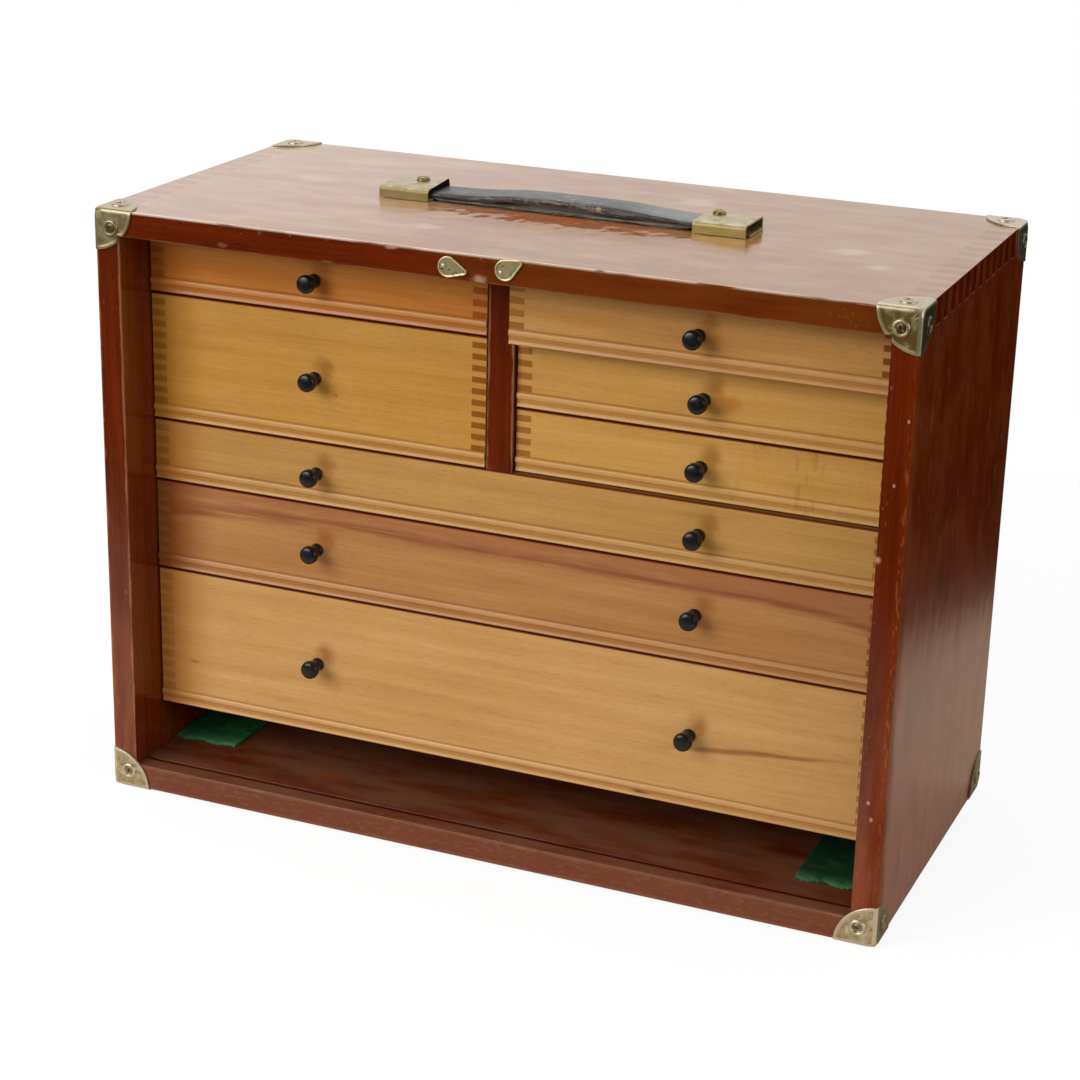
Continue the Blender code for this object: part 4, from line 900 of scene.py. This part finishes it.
# Felts: two strips of green baize laid along the floor of the slot, to spare what is slid over them.  They
# are cut by hand and frayed at the front edge.
FELT_THICK, FELT_LENGTH, FRAY_DEPTH = 0.0016, 0.150, 0.006
COLUMNS, HAIRS = 44, 110
GIRTH = (Vector((0.00013, 0, 0)), Vector((-0.00007, 0, 0.00011)), Vector((-0.00007, 0, -0.00011)))
down = [0.0, 0.0012, 0.0028] + [0.006 * k for k in range(1, 26)]
last = len(down) - 1
rng = random.Random(7)
# The left felt is a paler green than the right: painted light that lifts it out of the shade it lies in.
for side, wool in (("left", "#2c7a46"), ("right", "#0f3a1d")):
    low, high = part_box("felt_" + side)
    across = [low.x + (high.x - low.x) * k / COLUMNS for k in range(COLUMNS + 1)]
    phase = rng.uniform(0.0, 6.0)
    frayed = [0.0011 * (1 + math.sin(phase + 0.31 * k)) + rng.uniform(0.0, 0.0015)
              for k in range(COLUMNS + 1)]
    bm = bmesh.new()
    skins = []
    for top in (0, 1):
        grid = []
        for x, lost in zip(across, frayed):
            row = []
            for d in down:
                y = low.y + d + lost * max(0.0, 1 - d / FRAY_DEPTH)
                thick = FELT_THICK * min(1.0, 0.35 + d / 0.004) + rng.uniform(-0.00012, 0.0)
                row.append(bm.verts.new((x, y, low.z + top * thick)))
            grid.append(row)
        skins.append(grid)
        for p, q in zip(grid, grid[1:]):
            for k in range(len(p) - 1):
                bm.faces.new((p[k], p[k + 1], q[k + 1], q[k])).smooth = True
    rim = [(k, 0) for k in range(COLUMNS)] + [(COLUMNS, d) for d in range(last)]
    rim += [(k, last) for k in range(COLUMNS, 0, -1)] + [(0, d) for d in range(last, 0, -1)]
    for (a, b), (c, d) in zip(rim, rim[1:] + rim[:1]):
        bm.faces.new((skins[0][a][b], skins[0][c][d], skins[1][c][d], skins[1][a][b]))
    felt = piece("felt_strip_" + side, bm, "carcass", "felt", ["felt_" + side])
    bm = bmesh.new()
    for k in range(HAIRS):
        start = Vector((rng.uniform(low.x + 0.001, high.x - 0.001), low.y + 0.0036,
                        low.z + rng.uniform(0.0002, 0.0007)))
        heading, length = rng.uniform(-0.9, 0.9), rng.uniform(0.0018, 0.0052)
        tip = start + Vector((math.sin(heading) * length, -math.cos(heading) * length,
                              rng.uniform(-0.0001, 0.0004)))
        base = [bm.verts.new(start + girth) for girth in GIRTH]
        end = bm.verts.new(tip)
        bm.faces.new(base)
        for a, b in ((0, 1), (1, 2), (2, 0)):
            bm.faces.new((base[a], base[b], end))
    fray = piece("felt_fray_" + side, bm, "carcass", "felt")

    # Wool felt, pressed: deep green and fuzzy, bleached and dusty towards the frayed edge.
    green = begin("felt_wool_green_" + side, wool, Roughness=0.95, Specular_IOR_Level=0.1)
    stain(green, [mottle(green, (1.4, 1.4, 1.4), 0.35, 0.7, 0.6, 81)], "#144a28")
    stain(green, [mottle(green, (9, 9, 9), 0.45, 0.7, 0.5, 82)], "#08240f")
    stain(green, [mottle(green, (12, 7, 7), 0.5, 0.72, 0.5, 85)], "#3c4630")
    front_y = low.y * 1000
    faded = add(green["tree"], "MapRange SMOOTHSTEP", [green["xyz"][1], front_y + 16.0, front_y, 0.0, 0.7])
    stain(green, [faded, mottle(green, (6, 6, 6), 0.2, 0.6, 1.0, 83)], "#527a54")
    green["relief"] = mottle(green, (0.5, 0.5, 0.5), seed=84)
    dress(green, [felt, fray], 0.0003)

# Studio: white paper, white walls behind and above, and a dark room in front, so that the varnish is bright
# on top and deep red in front.  The paper lights the chest from close by; further out, in front and on the
# right, it is white to the camera alone.
bm = bmesh.new()
for x, y in ((-1.3, -0.8), (1.2, -0.8), (1.2, 0.8), (-1.3, 0.8)):
    bm.verts.new((x, y, -0.0002))
bm.faces.new(bm.verts)
paper_sheet = bpy.data.meshes.new("paper")
bm.to_mesh(paper_sheet)
bm.free()
paper = bpy.data.objects.new("paper", paper_sheet)
bpy.context.scene.collection.objects.link(paper)
white = bpy.data.materials.new("paper_white")
white.use_nodes = True
tree = white.node_tree
tree.nodes.clear()
across, deep, _ = add(tree, "SeparateXYZ", [add(tree, "TexCoord", out="Object")], None).outputs
edge = add(tree, "Math MULTIPLY_ADD", [deep, 0.333, across])
aside = add(tree, "MapRange SMOOTHSTEP", [edge, 0.455, 0.495, 1.0, 0.0])
ahead = add(tree, "MapRange SMOOTHSTEP", [deep, -0.72, -0.28])
lightness = add(tree, "Math MULTIPLY", [aside, ahead])
ground = add(tree, "Mix", {0: lightness, 6: "#101010", 7: "#dcc8b2"}, 2, data_type="RGBA")
lit = add(tree, "BsdfDiffuse", [ground])
glow = add(tree, "Emission", ["#ffffff", 0.87])
seen = add(tree, "AddShader", [add(tree, "BsdfDiffuse", ["#6c6c6c"]), glow])
camera_ray = add(tree, "LightPath", out="Is Camera Ray")
add(tree, "OutputMaterial", [add(tree, "MixShader", [camera_ray, lit, seen])], None)
paper_sheet.materials.append(white)

world = bpy.data.worlds.new("studio")
bpy.context.scene.world = world
world.use_nodes = True
tree = world.node_tree
tree.nodes.clear()
_, deep, height = add(tree, "SeparateXYZ", [add(tree, "TexCoord", out="Generated")], None).outputs
rays = add(tree, "LightPath", out=None).outputs
above = add(tree, "MapRange SMOOTHSTEP", [height, -0.03, 0.05])
behind = add(tree, "MapRange SMOOTHSTEP", [deep, -0.25, 0.35, 0.01, 1.0])
walls = add(tree, "Math MULTIPLY", [above, behind])
dome = add(tree, "Math MULTIPLY_ADD", [above, 0.52, 0.04])
strength = add(tree, "Mix", {0: rays["Is Glossy Ray"], 2: dome, 3: walls})
strength = add(tree, "Mix", {0: rays["Is Camera Ray"], 2: strength, 3: 1.0})
add(tree, "OutputWorld", [add(tree, "Background", ["#ffffff", strength])], None)

LAMPS_AIM = Vector((0, 0, 0.2))
for name, spot, wide, power in (
        ("key", (-1.3, -2.0, 1.3), 1.5, 46.0),
        ("overhead", (-0.3, 0.3, 1.9), 1.4, 6.0),
        ("fill", (2.2, -0.7, 0.9), 1.2, 15.0)):
    lamp = bpy.data.lights.new(name, "AREA")
    lamp.shape = "SQUARE"
    lamp.size = wide
    lamp.energy = power
    stand = bpy.data.objects.new(name, lamp)
    bpy.context.scene.collection.objects.link(stand)
    stand.location = spot
    stand.rotation_mode = "QUATERNION"
    stand.rotation_quaternion = (LAMPS_AIM - Vector(spot)).to_track_quat("-Z", "Y")
    stand.visible_camera = False

LOOK, ROLL = Vector((-0.3626, 0.8680, -0.3392)), 0.0243
lens = bpy.data.cameras.new("camera")
lens.lens = 84.92
lens.sensor_width = 36.0
camera = bpy.data.objects.new("camera", lens)
bpy.context.scene.collection.objects.link(camera)
camera.location = (0.5710, -1.3941, 0.7122)
camera.rotation_mode = "QUATERNION"
camera.rotation_quaternion = LOOK.to_track_quat("-Z", "Y") @ Quaternion((0, 0, 1), ROLL)
bpy.context.scene.camera = camera
bpy.context.scene.view_settings.view_transform = "Standard"
